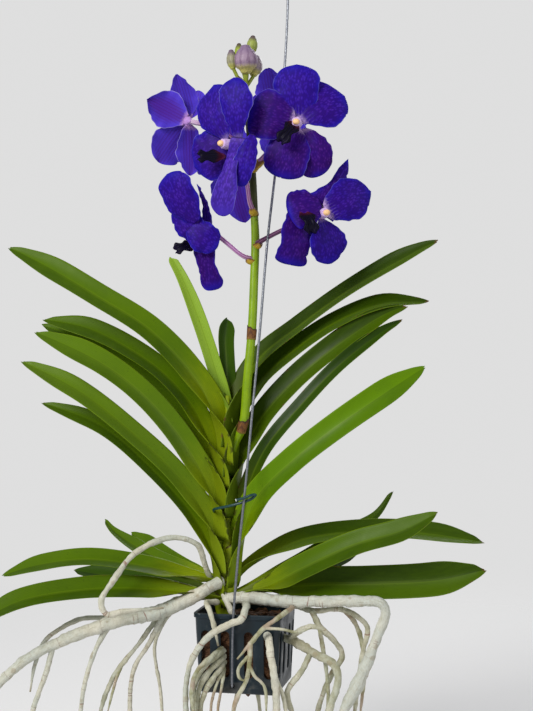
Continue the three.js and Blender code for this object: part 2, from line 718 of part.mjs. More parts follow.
/** The rachis with its stalks, bracts and small buds. */
function spikeSolid(grow) {
  const parts = [tube(RACHIS.route, RACHIS.radius, 6, 0, grow)];
  STALKS.forEach((route, i) => {
    const { centre, faces } = BLOOMS[i];
    const seat = vec(centre).addScaledVector(vec(faces).normalize(), -STALK_SEAT);
    parts.push(tube([...route, seat.toArray()], STALK_RADIUS, 5, 3, grow));
    const start = vec(route[0]);
    const outward = vec(route[1]).sub(start).normalize();
    const foot = start.clone().addScaledVector(outward, 1).add(new THREE.Vector3(0, 0, -4));
    const tip = foot.clone().addScaledVector(outward, BRACT_LENGTH);
    parts.push(tube([foot.toArray(), tip.toArray()], [3.4, 1], 3, 1, grow));
  });
  SMALL_BUDS.forEach((bud) => {
    parts.push(tube(bud.stalk, [1.5, 1.5], 3, 1, grow));
    parts.push(budSolid(bud, 5, grow));
  });
  return union(parts);
}

/** The stem: short oval sheaths, each leaning to one side over the next one up. */
function stemSolid(grow) {
  const line = smoothCurve([STEM.foot, STEM.bend, STEM.top]);
  const ring = (u, share, sideways) => {
    const centre = line.getPointAt(clamp(u, 0, 1));
    const half = profile(STEM.halfWidths, u) * share + grow;
    return Array.from({ length: STEM.sides }, (_, i) => {
      const angle = (2 * Math.PI * i) / STEM.sides;
      return new THREE.Vector3(
        centre.x + sideways + half * Math.cos(angle),
        centre.y + half * STEM.depthShare * Math.sin(angle),
        centre.z + 0.55 * half * Math.cos(angle) * Math.sign(sideways),
      );
    });
  };
  const sheaths = Array.from({ length: STEM.sheaths }, (_, k) => {
    const side = k % 2 ? 1 : -1;
    const low = (k / STEM.sheaths) * STEM.sheathedShare;
    return loft([ring(low, 0.84, 0.3 * side), ring(low + 0.12, 1, STEM.lean * side)]);
  });
  const core = loft([0, 0.3, 0.5, 1].map((u) => ring(u, 0.7, 0)));
  return union([core, ...sheaths]);
}

/** A ring of the pot's outline at one height: a square with cut corners, turned as the pot stands. */
function potRing(half, z) {
  const inner = half - POT.corner;
  const outline = [[1, -1], [1, 1], [-1, 1], [-1, -1]].flatMap(([sx, sy]) =>
    sx === sy
      ? [[sx * half, sy * inner], [sx * inner, sy * half]]
      : [[sx * inner, sy * half], [sx * half, sy * inner]]);
  return outline.map(([x, y]) => potPlace(x, y, z));
}

/** A place in the pot's own square, in the plant's frame. */
function potPlace(x, y, z) {
  const turned = new THREE.Vector3(x, y, z).applyAxisAngle(new THREE.Vector3(0, 0, 1), degToRad(POT.turn));
  return turned.add(new THREE.Vector3(POT.x, POT.y, 0));
}

/** A box in the pot's own square. */
function potBox([x0, y0, z0], [x1, y1, z1]) {
  const ring = (z) => [[x0, y0], [x1, y0], [x1, y1], [x0, y1]].map(([x, y]) => potPlace(x, y, z));
  return loft([ring(z0), ring(z1)]);
}

const potHalfAt = (z) => lerp(POT.halfBottom, POT.halfTop, (z - POT.rimZ + POT.height) / POT.height);

/** The pot: tapered square walls with a rim, four slots a side, a flat floor and the hole for the wire. */
function potSolid(grow) {
  const floorZ = POT.rimZ - POT.height;
  const rimFoot = POT.rimZ - POT.rimHeight;
  const outside = loft([
    potRing(POT.halfBottom + grow, floorZ - grow),
    potRing(potHalfAt(rimFoot) + grow, rimFoot - grow),
  ]).add(loft([
    potRing(POT.halfTop + POT.rimLedge + grow, rimFoot - grow),
    potRing(POT.halfTop + POT.rimLedge + grow, POT.rimZ + grow),
  ]));
  const insideFloor = floorZ + POT.floor + grow;
  const inside = loft([
    potRing(potHalfAt(insideFloor) - POT.wall - grow, insideFloor),
    potRing(POT.halfTop - POT.wall - grow, POT.rimZ + 5),
  ]);
  const reach = POT.halfTop + 5;
  const half = POT.slotWidth / 2 - grow;
  const slots = POT.slotPlaces.flatMap((place) => [
    potBox([place - half, -reach, POT.slotBottom + grow], [place + half, reach, POT.slotTop - grow]),
    potBox([-reach, place - half, POT.slotBottom + grow], [reach, place + half, POT.slotTop - grow]),
  ]);
  const wireHole = tube(
    [[WIRE_HOLE.x, -POT.halfTop - 5, WIRE_HOLE.z], [WIRE_HOLE.x, -25, WIRE_HOLE.z]],
    [WIRE_HOLE.radius - grow, WIRE_HOLE.radius - grow], 8, 1, 0);
  return outside.subtract(union([inside, wireHole, ...slots]));
}

/** The bark in the pot, with loose chips on its top. */
function barkSolid(grow) {
  const low = POT.rimZ - POT.height + POT.floor + GAP - grow;
  const inset = POT.wall + GAP - grow;
  const block = loft([low, BARK_TOP_Z].map((z) => potRing(potHalfAt(z) - inset, z)));
  const chipsAcross = 2;
  const spacing = 32;
  const chips = [];
  for (let i = 0; i < chipsAcross; i++) {
    for (let j = 0; j < chipsAcross; j++) {
      const turn = 1.9 * i + 2.7 * j;
      const [x, y] = [i, j].map((k) => (k - (chipsAcross - 1) / 2) * spacing);
      const ring = (z, share) => [0.4, 2.2, 4.4].map((angle) =>
        potPlace(x + 12 * share * Math.cos(angle + turn), y + 9 * share * Math.sin(angle + turn), z));
      chips.push(loft([ring(BARK_TOP_Z - 3, 1), ring(BARK_TOP_Z + 1.5 + 1.5 * Math.sin(3 * turn), 0.75)]));
    }
  }
  return union([block, ...chips]);
}

/** The wire's long run: from the crook in the pot's wall, past the blooms, to the foot of its hook. */
function wireSolid(grow) {
  const run = [
    [WIRE_HOLE.x, -28, WIRE_HOLE.z], [WIRE_HOLE.x, -36, WIRE_HOLE.z], [WIRE_HOLE.x, -39.4, WIRE_HOLE.z + 3],
    [WIRE_HOLE.x, -40, WIRE_HOLE.z + 9], ...WIRE_ROUTE, HOOK_FOOT,
  ];
  return tube(run, [WIRE_RADIUS, WIRE_RADIUS], 6, 0, grow);
}

/** The wire's open hook, which goes on from the run. */
function hookSolid(grow) {
  const radius = HOOK.insideRadius + WIRE_RADIUS;
  const hookZ = HOOK.insideTopZ - HOOK.insideRadius;
  const arc = [0, 30, 60, 90, 120, 150, 180, 205].map((degrees) => {
    const angle = degToRad(degrees);
    return [HOOK.x + radius * Math.cos(angle), 0, hookZ + radius * Math.sin(angle)];
  });
  return tube([HOOK_FOOT, ...arc], [WIRE_RADIUS, WIRE_RADIUS], 6, 0, grow);
}

// ---------------------------------------------------------------- assembly
const orchid = new THREE.Group();
const placed = [];
const boxesMeet = (a, b) => [0, 1, 2].every((k) => a.min[k] <= b.max[k] && b.min[k] <= a.max[k]);

/** Adds a piece as a mesh of its own, cut clear of the pieces that are there already. */
function place(name, material, make) {
  const whole = make(0);
  let solid = whole;
  for (const other of placed) {
    if (boxesMeet(solid.boundingBox(), other.grown.boundingBox())) solid = solid.subtract(other.grown);
  }
  solid = largest(solid);
  placed.push({ grown: make(GAP) });

  const { vertProperties, triVerts } = solid.getMesh();
  const geometry = new THREE.BufferGeometry();
  geometry.setAttribute("position", new THREE.BufferAttribute(vertProperties, 3));
  geometry.setIndex(new THREE.BufferAttribute(triVerts, 1));
  geometry.computeVertexNormals();
  const mesh = new THREE.Mesh(geometry, MATERIALS[material]);
  mesh.name = name;
  mesh.userData.shareKept = solid.volume() / whole.volume();
  orchid.add(mesh);
}

place("hanger_wire", "steel", wireSolid);
place("wire_hook", "steel", hookSolid);
place("pot", "pot", potSolid);
place("stem", "stem", stemSolid);
place("flower_spike", "spike", spikeSolid);
LEAVES.forEach((leaf) => place(leaf.name, leaf.material ?? "leaf", (grow) => leafSolid(leaf, grow)));
ROOTS.forEach((root) => place(root.name, "root", (grow) => rootSolid(root, grow)));
place("bud_large", "bud", (grow) => budSolid(LARGE_BUD, 7, grow));
BLOOMS.forEach((bloom, i) => {
  place(`bloom_${i + 1}_tepals`, "tepal", (grow) => tepalsSolid(bloom, grow));
  place(`bloom_${i + 1}_lip`, "lip", (grow) => lipSolid(bloom, grow));
});
place("clip", "clip", (grow) => tube(CLIP.route, [CLIP.radius, CLIP.radius], 5, 12, grow));
place("growing_medium", "bark", barkSolid);

orchid.position.set(-HOOK.x, 0, -HOOK.insideTopZ);

export default orchid;
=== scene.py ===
"""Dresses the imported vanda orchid: leaves, roots, blooms, flower spike, pot and wire, each in its own finish.

The tables give the plant in millimetres in its own frame, with the origin at the foot of the stem, +Z up and
the front towards -Y. PLACE_SHIFT and a thousandth turn such a place into the frame's metres.
"""

import bisect
import math
import random
from functools import cached_property
from itertools import accumulate

import bpy
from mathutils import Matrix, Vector


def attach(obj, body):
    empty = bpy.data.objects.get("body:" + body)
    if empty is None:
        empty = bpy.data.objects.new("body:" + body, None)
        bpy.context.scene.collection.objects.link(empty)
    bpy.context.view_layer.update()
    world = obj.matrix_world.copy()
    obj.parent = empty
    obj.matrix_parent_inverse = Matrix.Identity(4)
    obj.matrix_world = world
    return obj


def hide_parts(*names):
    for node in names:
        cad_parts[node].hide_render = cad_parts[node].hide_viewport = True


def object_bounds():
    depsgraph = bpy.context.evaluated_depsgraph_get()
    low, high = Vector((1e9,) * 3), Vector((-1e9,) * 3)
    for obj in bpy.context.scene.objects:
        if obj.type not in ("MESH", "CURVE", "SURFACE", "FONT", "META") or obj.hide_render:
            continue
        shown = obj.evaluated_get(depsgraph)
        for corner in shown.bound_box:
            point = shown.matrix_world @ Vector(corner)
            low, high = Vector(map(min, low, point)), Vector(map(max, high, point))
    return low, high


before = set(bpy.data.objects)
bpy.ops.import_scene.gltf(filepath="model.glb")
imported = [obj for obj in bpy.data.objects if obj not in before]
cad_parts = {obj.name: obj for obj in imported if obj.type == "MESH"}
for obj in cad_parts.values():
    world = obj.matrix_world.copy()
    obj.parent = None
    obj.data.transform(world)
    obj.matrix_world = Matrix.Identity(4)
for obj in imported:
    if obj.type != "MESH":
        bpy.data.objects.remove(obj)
CAD_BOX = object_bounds()

# ---------------------------------------------------------------- sizes, in millimetres and degrees
PLACE_SHIFT = Vector((-24, 0, -603))  # puts the origin at the inside top of the wire's hook
BACK, UP = Vector((0, 1, 0)), Vector((0, 0, 1))
LEAF_THICKNESS, TEPAL_THICKNESS, LIP_THICKNESS, SCALE_THICKNESS = 1.5, 0.9, 1.5, 0.7
LEAF_NOTCH = 1.8  # depth of the cleft in a leaf's tip
LEAF_OPENING, SHEATH_OPENING = 72, 34  # between the keel plane and each half of the blade
SHEATH_ROLL = 78
SHEATH_END = 0.32  # share of a leaf's length where it lies open
THICK_ROOT, THIN_ROOT = 4.5, 2.3
PETAL_LAYER = 1.8  # petals lie this far before a bloom's middle, and sepals behind it
LIP_LAYER = 3
LIP_HALF_WIDTHS = [3.2, 7.2, 4.6, 7.2, 3.4]
COLUMN_FOOT, COLUMN_END = -5, 9
COLUMN_RADII = [2, 4.4, 4.6, 4.2]
CAP_RADIUS = 2.9
STALK_SEAT = 4
DARK_STALK = 4  # counted from 0
STALK_RADII = [2.4, 1.9, 1.9, 2.2]
BRACT_LENGTH = 9
BUD_PROFILE = [0.5, 0.88, 1.0, 0.95, 0.74, 0.42]
STEM_ROUTE = [(-14, 0, -20), (-11, 0, 50), (-11, 0, 184)]
STEM_HALF_WIDTHS = [7, 9.5, 9.5, 7, 5, 4.4, 4, 3.8, 3.5, 3, 2.5]
STEM_DEPTH_SHARE, STEM_SIDES = 0.7, 32
SHEATHS, SHEATHED_SHARE, SHEATH_LEAN = 4, 0.3, 3
POT_X, POT_TURN = 5.7, -12
POT_RIM, POT_FOOT, POT_FLOOR = -6, -76, -74.2
POT_HALF_TOP, POT_HALF_FOOT = 38.5, 35.5
POT_CORNER, POT_WALL, POT_SOFTNESS = 6, 1.4, 0.35
RIM_HEIGHT, RIM_LEDGE = 4, 1.2
SLOT_PLACES = [-28, -10.5, 10.5, 28]
SLOT_WIDTH, SLOT_TOP, SLOT_FOOT = 8, -21, -62
BARK_TOP = -15
HOLE_X, HOLE_Z, HOLE_RADIUS = -6, -69, 2.2  # where the wire goes into the pot
HOOK_X, HOOK_Z, HOOK_RADIUS = 24, 585, 19.3  # the middle line of the wire's hook
WIRE_RADIUS, TIE_RADIUS = 1.12, 1.2

# ---------------------------------------------------------------- the plant's tables
# A leaf has the width and roll of its open blade. base, taper and tip are shares of its width or length, and
# shade is painted shade and painted light over its blade, from the palest, -1, to the darkest, 1; kind leaf_bright
# has painted light and kind leaf_dark painted shade in its colours. A run of roots is its radii and its route. A
# tepal's tip is measured from its start; red is its maroon, and claw and rim say how pale its foot and its edge are.
LEAVES = [
    dict(name="low_right_5", width=32, roll=24, shade=0.7, route=[(-9, -7, -2), (22, -12, 11), (67, -18, 17),
         (113, -26, 19), (173, -36, 24), (215, -42, 34)]),
    dict(name="low_left_2", width=26, roll=52, shade=0.4, route=[(-16, -4, 0), (-50, -16, 9), (-93, -30, 15),
         (-138, -44, 16), (-188, -60, 9), (-225, -74, -10)]),
    dict(name="low_right_4", width=24, roll=44, kind="leaf_dark", route=[(-7, 8, -4), (43, 42, 12), (77, 62, 22),
         (114, 82, 34)]),
    dict(name="low_left_5", width=22, roll=60, kind="leaf_dark", route=[(-16, 6, 2), (-51, 20, 8), (-99, 36, 12),
         (-157, 50, 18)]),
    dict(name="low_right_2", width=17, roll=50, taper=0.5, route=[(-7, 4, 3), (41, 16, 24), (93, 32, 53),
         (126, 40, 71), (142, 42, 94)]),
    dict(name="low_right_3", width=26, roll=42, base=0.35, route=[(-7, -2, 2), (26, -16, 15), (54, -30, 32),
         (101, -46, 56), (141, -56, 69), (171, -58, 85)]),
    dict(name="low_left_4", width=22, roll=30, shade=0.1, route=[(-14, 8, 10), (-52, 50, 18), (-94, 92, 37),
         (-109, 106, 46)]),
    dict(name="low_left_1", width=24, roll=58, shade=0.1, route=[(-16, 0, 14), (-47, -10, 23), (-93, -22, 35),
         (-136, -32, 41), (-175, -40, 37), (-205, -46, 29)]),
    dict(name="low_right_1", width=26, roll=54, shade=0.6, route=[(-11, 3, 6), (5, 8, 26), (30, 12, 41), (61, 16, 53),
         (117, 18, 59), (171, 12, 58), (220, -2, 52)]),
    dict(name="low_left_3", width=17, roll=50, taper=0.55, route=[(-16, 4, 16), (-63, 34, 26), (-97, 60, 38),
         (-124, 82, 52), (-133, 92, 61)]),
    dict(name="left_6", width=19, roll=36, route=[(-22, 0, -6), (-25, -3, 39), (-40, -4, 73), (-80, 2, 118),
         (-125, 10, 155), (-182, 20, 177)]),
    dict(name="right_5", width=26, roll=26, base=1.2, taper=0.8, kind="leaf_bright", shade=0.0, route=[(-1, 0, 12),
         (4, -4, 60), (16, -16, 94), (46, -28, 126), (85, -34, 157), (129, -30, 187), (165, -18, 210)]),
    dict(name="left_5", width=23, roll=36, shade=-0.3, route=[(-23, 0, 22), (-28, -4, 67), (-52, -12, 108),
         (-97, -14, 152), (-141, -10, 186), (-197, 0, 215)]),
    dict(name="right_4", width=16, roll=34, kind="leaf_dark", shade=0.6, route=[(0, 0, 40), (5, -4, 91),
         (22, -13, 135), (56, -14, 177), (90, -10, 212), (129, -2, 242), (147, 2, 252)]),
    dict(name="left_4", width=25, roll=30, shade=-0.2, route=[(-22, 0, 54), (-27, -4, 96), (-49, -16, 141),
         (-83, -24, 183), (-120, -28, 212), (-180, -26, 241)]),
    dict(name="left_3", width=24, roll=38, route=[(-22, 1, 80), (-26, 2, 114), (-43, 10, 152), (-73, 18, 183),
         (-115, 24, 216), (-156, 28, 237), (-184, 32, 248)]),
    dict(name="right_3", width=25, roll=32, shade=1.0, route=[(-1, 0, 74), (2, 2, 122), (16, 6, 158), (46, 6, 194),
         (89, 4, 230), (132, 8, 258), (152, 10, 265)]),
    dict(name="left_2", width=24, roll=36, route=[(-20, 0, 100), (-24, 0, 128), (-42, 2, 172), (-66, 2, 201),
         (-94, 4, 222), (-135, 9, 243), (-180, 16, 253)]),
    dict(name="right_2", width=25, roll=50, shade=1.0, route=[(-3, 1, 110), (1, 4, 156), (17, 12, 194), (45, 16, 221),
         (87, 16, 250), (130, 18, 267), (173, 22, 269)]),
    dict(name="left_1", width=27, roll=34, shade=0.12, route=[(-19, 0, 122), (-21, -1, 152), (-35, -8, 191),
         (-77, -12, 240), (-130, -8, 274), (-175, 2, 300), (-210, 10, 318)]),
    dict(name="right_1", width=26, roll=54, taper=0.8, shade=0.9, route=[(-4, 2, 136), (0, 6, 178), (16, 16, 215),
         (53, 22, 246), (99, 20, 279), (163, 12, 316), (180, 10, 324)]),
    dict(name="upright_1", width=15, roll=15, base=1.2, taper=0.5, tip=0.6, kind="leaf_bright", shade=-0.8,
         route=[(-12, 2, 158), (-18, 6, 190), (-32, 12, 236), (-52, 20, 288), (-64, 26, 311)]),
    dict(name="upright_2", width=17, roll=30, base=1, taper=0.84, kind="leaf_dark", route=[(-10, 10, 165),
         (-13, 18, 216), (-14, 24, 238), (-12, 28, 255)]),
]
ROOTS = [
    dict(name="left_main", green=0.22, runs=[
        ([5, 6.3, 6, 5.2, 4.4, 3.4], [(-17, -7, 18), (-43, -18, 5), (-67, -24, -5), (-109, -32, -13), (-153, -40, -28),
          (-188, -46, -46), (-224, -48, -85), (-235, -46, -117), (-236.8, -44, -156.5)]),
        ([2.4, 2.2, 2], [(-96, -30, -11), (-113, -22, -12), (-139, -20, -13), (-155, -26, -19), (-170, -34, -30),
          (-178, -38, -50), (-182, -38, -73)]),
        ([2.6, 2.2], [(-161, -42, -30), (-167, -42, -54), (-179, -42, -89), (-185, -42, -136)]),
        ([2.6, 2], [(-112, -32, -14), (-124, -34, -34), (-135, -34, -67), (-142, -32, -126)]),
        ([2.6, 2], [(-64, -23, -4), (-81, -14, -37), (-95, -10, -62), (-98, -8, -143)]),
        ([2, 1.5], [(-54, -21, 0), (-66, -17, -15), (-75, -18, -37), (-70, -18, -77), (-67, -18, -121)])]),
    dict(name="left_hanging", green=0.7, runs=[
        ([2.6, 2.4, 2], [(-20, 4, 2), (-46, 0, 1), (-68, -8, -10), (-90, -14, -37), (-111, -18, -64), (-123, -18, -95),
          (-126, -18, -125)]),
        ([1.8, 1.3], [(-105, -16, -55), (-110, -22, -70), (-116, -24, -94)])]),
    dict(name="left_loop", green=0.35, runs=[
        ([2.5, 2.5, 2.5, 2.5], [(-20, 6, 10), (-29, -5, 26), (-38, -20, 53), (-59, -28, 60), (-89, -40, 49),
          (-106, -53, 29), (-117, -62, 10), (-113, -60, -1), (-98, -54, 0), (-66, -38, 0)])]),
    dict(name="over_rim", green=0.6, runs=[
        ([2.4, 2.2], [(-20, -12, 0), (-29, -27, 3), (-26, -39, -1), (-22, -40, -14), (-18, -38, -33)])]),
    dict(name="front_thick", green=0.35, runs=[
        ([3, 3, 2.8, 2.4], [(6, -16, -1), (6, -38, 0), (2, -47, -8), (-8, -49, -12), (-26, -52, -22), (-40, -54, -41),
          (-45, -54, -63), (-45, -54, -89), (-41, -50, -138)])]),
    dict(name="front_bundle", green=0.75, runs=[
        ([2.9, 2.6, 2.4], [(-14, -34, -38), (-19, -44, -40), (-33, -49, -52), (-39, -48, -70), (-38, -46, -113)]),
        ([2.9, 2.6, 2.2], [(-13, -34, -43), (-19, -44, -47), (-31, -50, -60), (-36, -50, -80), (-34, -50, -116)]),
        ([2.9, 2.4, 2.2], [(-13, -34, -48), (-18, -44, -54), (-29, -50, -70), (-33, -50, -87), (-30, -50, -120)]),
        ([2.2, 2], [(-15, -34, -36), (-22, -48, -39), (-36, -58, -51), (-40, -59, -70), (-36, -59, -98)]),
        ([1.8, 1.2], [(-13, -36, -52), (-19, -46, -64), (-24, -49, -84), (-22, -49, -112)]),
        ([1.8, 1.2], [(-13, -36, -54), (-15, -46, -68), (-18, -50, -88), (-15, -50, -106)])]),
    dict(name="right_main", green=0.02, runs=[
        ([5, 5.4, 5, 4.8, 4.2, 4.4, 5.4, 4.2], [(-9, -9, 3), (15, -20, 5), (38, -28, 4), (67, -36, 5), (104, -43, 7),
          (122, -46, 6), (127, -46, -2), (121, -46, -20), (104, -46, -63), (91, -46, -88), (81, -44, -130),
          (80, -42, -165.4)])]),
    dict(name="right_net", green=0.7, runs=[
        ([2.6, 2.4, 2.2], [(4, 2, -1), (30, -12, -1), (50, -18, -2), (65, -25, -5), (90, -30, -3), (107, -28, -12),
          (113, -26, -20), (109, -26, -41), (104, -26, -75), (98, -26, -123)]),
        ([2.2, 2], [(93, -29, -4), (104, -18, -20), (111, -14, -51), (107, -14, -104)]),
        ([2.6, 2.6, 2.2], [(64, -25, -5), (71, -24, -19), (83, -22, -31), (91, -20, -45), (80, -22, -65),
          (69, -24, -94), (61, -24, -150)]),
        ([2, 1.7], [(70, -24, -18), (73, -30, -34), (78, -32, -73), (76, -32, -112)])]),
    dict(name="right_slot", green=0.7, runs=[
        ([3.4, 4, 3.8, 3.2], [(36, -16, -29), (48, -24, -32), (66, -37, -40), (82, -44, -48), (86, -46, -60),
          (78, -46, -88), (75, -44, -113)]),
        ([2.6, 2.6], [(44, -22, -30), (52, -36, -21), (63, -44, -15), (75, -45, -18)]),
        ([2.8, 2.6], [(63, -35, -39), (54, -42, -55), (42, -46, -71), (46, -44, -90), (51, -44, -118)])]),
    dict(name="front_slot", green=0.25, runs=[
        ([3.4, 3.3, 3.2, 2.8], [(24, -38, -22), (26, -50, -26), (28, -57, -40), (32, -58, -66), (33, -54, -119),
          (32, -52, -150)]),
        ([2.2, 1.8], [(30, -58, -55), (38, -53, -72), (43, -52, -107)])]),
    dict(name="front_net", green=0.8, runs=[
        ([2.2, 2.2, 2], [(50, -20, -1), (44, -40, -1), (33, -50, -7), (21, -55, -15), (11, -57, -26), (-1, -58, -40)]),
        ([1.5, 1.2], [(22, -55, -14), (37, -56, -15), (50, -53, -18), (63, -50, -15)]),
        ([2.2, 2, 1.8], [(10, -57, -27), (9, -59, -45), (7, -60, -57), (-3, -59, -79), (-6, -58, -118)]),
        ([1.7, 1.5], [(8, -58, -38), (0, -62, -48), (1, -63, -55), (7, -60, -59)]),
        ([1.6, 1.3], [(9, -60, -45), (14, -61, -54), (22, -63, -62), (24, -63, -89)])]),
    dict(name="stub", runs=[
        ([2.6, 3, 3], [(-14, -8, 6), (-11, -14, 0), (-4, -18, -12)])]),
    dict(name="back", green=0.8, runs=[
        ([3, 2.8, 2.2], [(0, 6, 0), (10, 34, 0), (14, 47, -14), (12, 50, -60), (20, 48, -128)]),
        ([2.2, 1.8], [(12, 49, -22), (4, 54, -50), (-6, 54, -104)])]),
]
BLOOMS = [
    dict(centre=(-47, 12.5, 433), faces=(-0.35, 0.92, 0.14), lip=(-8, 15, -14), tepals=[
        dict(tip=(-11, 6, 44), width=28, petal=True, shape="pointed", red=0.1, bow=-3, rim=0.4),
        dict(tip=(9, 12, 30), width=22, petal=True, red=0.1, rim=0.6, faces=(0.3, 0.9, 0)),
        dict(tip=(-38, -4, 19), width=37, shape="pointed", red=0.8, bow=-1, rim=0.5),
        dict(tip=(-27, 2, -37), width=36, petal=True, red=0.3, rim=0.4),
        dict(tip=(1, 4, -49), width=28, shape="oval", red=1.5, bow=2, rim=0.5)]),
    dict(centre=(-7, -38, 404), faces=(-0.8, -0.6, 0), lip=(-22, -7, -1), lip_start=(-1, 0, -11), lip_size=0.85,
         tepals=[
        dict(tip=(-4, -4, 57), width=33, shape="slender", red=0.0, bow=2, claw=0.3, rim=0.7, start=(5, -4, 0),
             faces=(-0.35, -0.93, 0.1)),
        dict(tip=(-14, 10, 54), width=37, petal=True, red=0.2, bow=-4, claw=0.4, faces=(-0.5, -0.86, 0)),
        dict(tip=(-36, 10, -22), width=46, shape="full", red=0.6, claw=0.0, start=(2, 3, 4), faces=(-0.4, -0.9, 0)),
        dict(tip=(-17, -12, -73), width=25, shape="hourglass", red=1.6, claw=0.1, rim=0.5, start=(8, -6, 9),
             faces=(-0.4, -0.9, 0)),
        dict(tip=(-14, -1, -47), width=20, shape="boxy", red=0.1, claw=0.0, rim=0.9, start=(19, -14, 9),
             faces=(-0.1, -0.99, 0))]),
    dict(centre=(51, -32, 423), faces=(-0.1, -1, 0.05), lip=(-14, -11, -18), tepals=[
        dict(tip=(-1, -3, 52), width=41, shape="boxy", red=0.15),
        dict(tip=(41, 5, 26), width=44, petal=True, red=0.5, bow=-3, claw=0.7, start=(1, 0, -1)),
        dict(tip=(16, 0, -44), width=32, shape="boxy", red=1.0, bow=-4, claw=0.75, start=(2, 0, -2)),
        dict(tip=(-15, -3, -47), width=41, shape="boxy", red=0.95),
        dict(tip=(-42, 2, 12), width=46, petal=True, shape="boxy", red=0.95)]),
    dict(centre=(-37, -6.5, 338), faces=(-0.85, -0.38, -0.3), lip=(-18, -7, -4), lip_start=(2, 4, -20),
         lip_faces=(-0.5, -0.8, 0.3), column_end=5, tepals=[
        dict(tip=(-28, -2, 46), width=36, shape="boxy", red=0.35, bow=2, claw=0.0, rim=0.1, start=(-1, -12, -4),
             faces=(-0.5, -0.85, -0.2)),
        dict(tip=(-9, 4, 42), width=11, shape="spear", red=0.6, bow=5, claw=0.3, rim=1.0, start=(5.5, 2, -6),
             faces=(-0.3, -0.95, 0)),
        dict(tip=(24, -3, -22), width=28, shape="full", red=0.4, claw=0.0, rim=0.2, start=(-9, -10, -2),
             faces=(-0.4, -0.85, 0.3)),
        dict(tip=(-32, 2, 34), width=27, shape="boxy", red=0.4, claw=0.0, rim=0.1, start=(10, -7, -21),
             faces=(-0.5, -0.85, 0.1)),
        dict(tip=(12, 4, -60), width=23, shape="strap", red=0.95, claw=0.0, faces=(-0.3, -0.95, 0))]),
    dict(centre=(72, -20, 345), faces=(0.45, -0.88, 0.1), lip=(8, -9, -19), lip_start=(-19, -7, 1), lip_size=1.15,
         tepals=[
        dict(tip=(31, 10, 51), width=34, shape="spear", red=0.8, bow=3, claw=0.0, start=(-5, 0, 0),
             faces=(0.3, -0.95, 0.2)),
        dict(tip=(45, 16, 22), width=40, petal=True, shape="oval", red=0.4, bow=-2),
        dict(tip=(11, 4, -43), width=38, red=0.3, claw=0.5),
        dict(tip=(-8, -5, -50), width=36, shape="strap", red=0.95, claw=0.0, rim=0.1, start=(-18, -3, 5)),
        dict(tip=(-31, -8, -7), width=38, shape="boxy", red=0.95, claw=0.0, rim=0.0, start=(3, -5, 8),
             faces=(0.15, -0.93, 0.3))]),
    dict(centre=(32, 34, 442), faces=(0.1, 0.97, 0.15), lip=(-2, 14, -15), tepals=[
        dict(tip=(-7, 2, 44), width=30, shape="oval", red=1.6),
        dict(tip=(38, 4, 12), width=34, petal=True),
        dict(tip=(27, 2, -34), width=32),
        dict(tip=(3, 4, -43), width=32),
        dict(tip=(-32, 8, 8), width=32, petal=True)]),
    dict(centre=(-9, 32, 396), faces=(-0.25, 0.96, -0.1), lip=(-5, 15, -14), tepals=[
        dict(tip=(0, 6, 44), width=32),
        dict(tip=(14, 36, 10), width=32, petal=True, faces=(-0.9, 0.3, 0)),
        dict(tip=(13, -2, -54), width=26),
        dict(tip=(-10, 12, -38), width=26),
        dict(tip=(-36, 14, 10), width=30, petal=True)]),
]
RACHIS_RADII = [3.6, 4, 4, 3.8, 3.7, 3.4, 3, 2.4]
RACHIS_ROUTE = [(-9, 2, 120), (-5, -1, 140), (3, -10, 158), (7, -15, 198), (11, -12, 243), (13, -6, 290),
                (14, -2, 324), (13, 0, 348), (11, 0, 391), (8, 0, 430), (5, 0, 468)]
STALKS = [
    [(10, 2, 408), (-5, 10, 416), (-25, 9, 427)],
    [(13, -1, 348), (9, -10, 357), (6, -22, 376)],
    [(11, -1, 388), (17, -9, 393), (32, -18, 407)],
    [(14, -3, 306), (3, -8, 309), (-12, -9, 321)],
    [(14, -2, 320), (21, -12, 323), (38, -20, 331)],
    [(9, 1, 422), (18, 14, 428)],
    [(12, 1, 374), (4, 14, 384)],
]
KNOB_RADII = [2.4, 3.4, 3.9, 3.4, 2.6]
KNOB_ROUTE = [(12, -3, 386), (16, -7, 391), (23, -10, 396)]
LARGE_BUD = dict(foot=(6, -3, 473), tip=(5, -6, 498), radius=11)
SMALL_BUDS = [
    dict(stalk=[(6, 0, 462), (12, 4, 472)], foot=(12, 5, 472), tip=(15, 8, 492), radius=7),
    dict(stalk=[(6, 0, 455), (0, -2, 466), (-6, -3, 478)], foot=(-6, -3, 476), tip=(-8, -3, 495), radius=5),
    dict(stalk=[(5, 0, 468), (10, 6, 492)], foot=(10, 7, 492), tip=(12, 7, 510), radius=5),
    dict(stalk=[(5, 0, 468), (0, 6, 488)], foot=(0, 6, 486), tip=(-1, 7, 503), radius=4.5),
    dict(stalk=[(6, 0, 450), (3, -3, 460)], foot=(4, -3, 458), tip=(-2, -6, 470), radius=4),
]
WIRE_ROUTE = [(-5, -41, -10), (-1, -40, 42), (6, -37, 110), (11, -32, 165), (18, -25, 240), (25, -17, 323),
              (32, -9, 385), (39, -3, 460), (43, 0, 530)]
TIE_ROUTE = [(-23, -4, 80), (-22, -20, 84), (-9, -31, 88), (4.3, -34.8, 92), (11, -36, 95), (14.5, -38, 98.5),
             (11, -40, 98.5), (4.3, -40.6, 96), (-3, -41, 94)]


# ---------------------------------------------------------------- numbers, curves and skins
def lerp(a, b, share):
    return a + (b - a) * share


def clamp(x):
    return max(0.0, min(1.0, x))


def smoothstep(x, low, high):
    """0 at low and 1 at high, smoothly. low may be the larger."""
    t = clamp((x - low) / (high - low))
    return t * t * (3 - 2 * t)


def profile(values, u):
    """Reads a list of values as a smooth profile from u = 0 to u = 1."""
    spot = clamp(u) * (len(values) - 1)
    first = min(int(spot), len(values) - 2)
    return lerp(values[first], values[first + 1], smoothstep(spot - first, 0, 1))


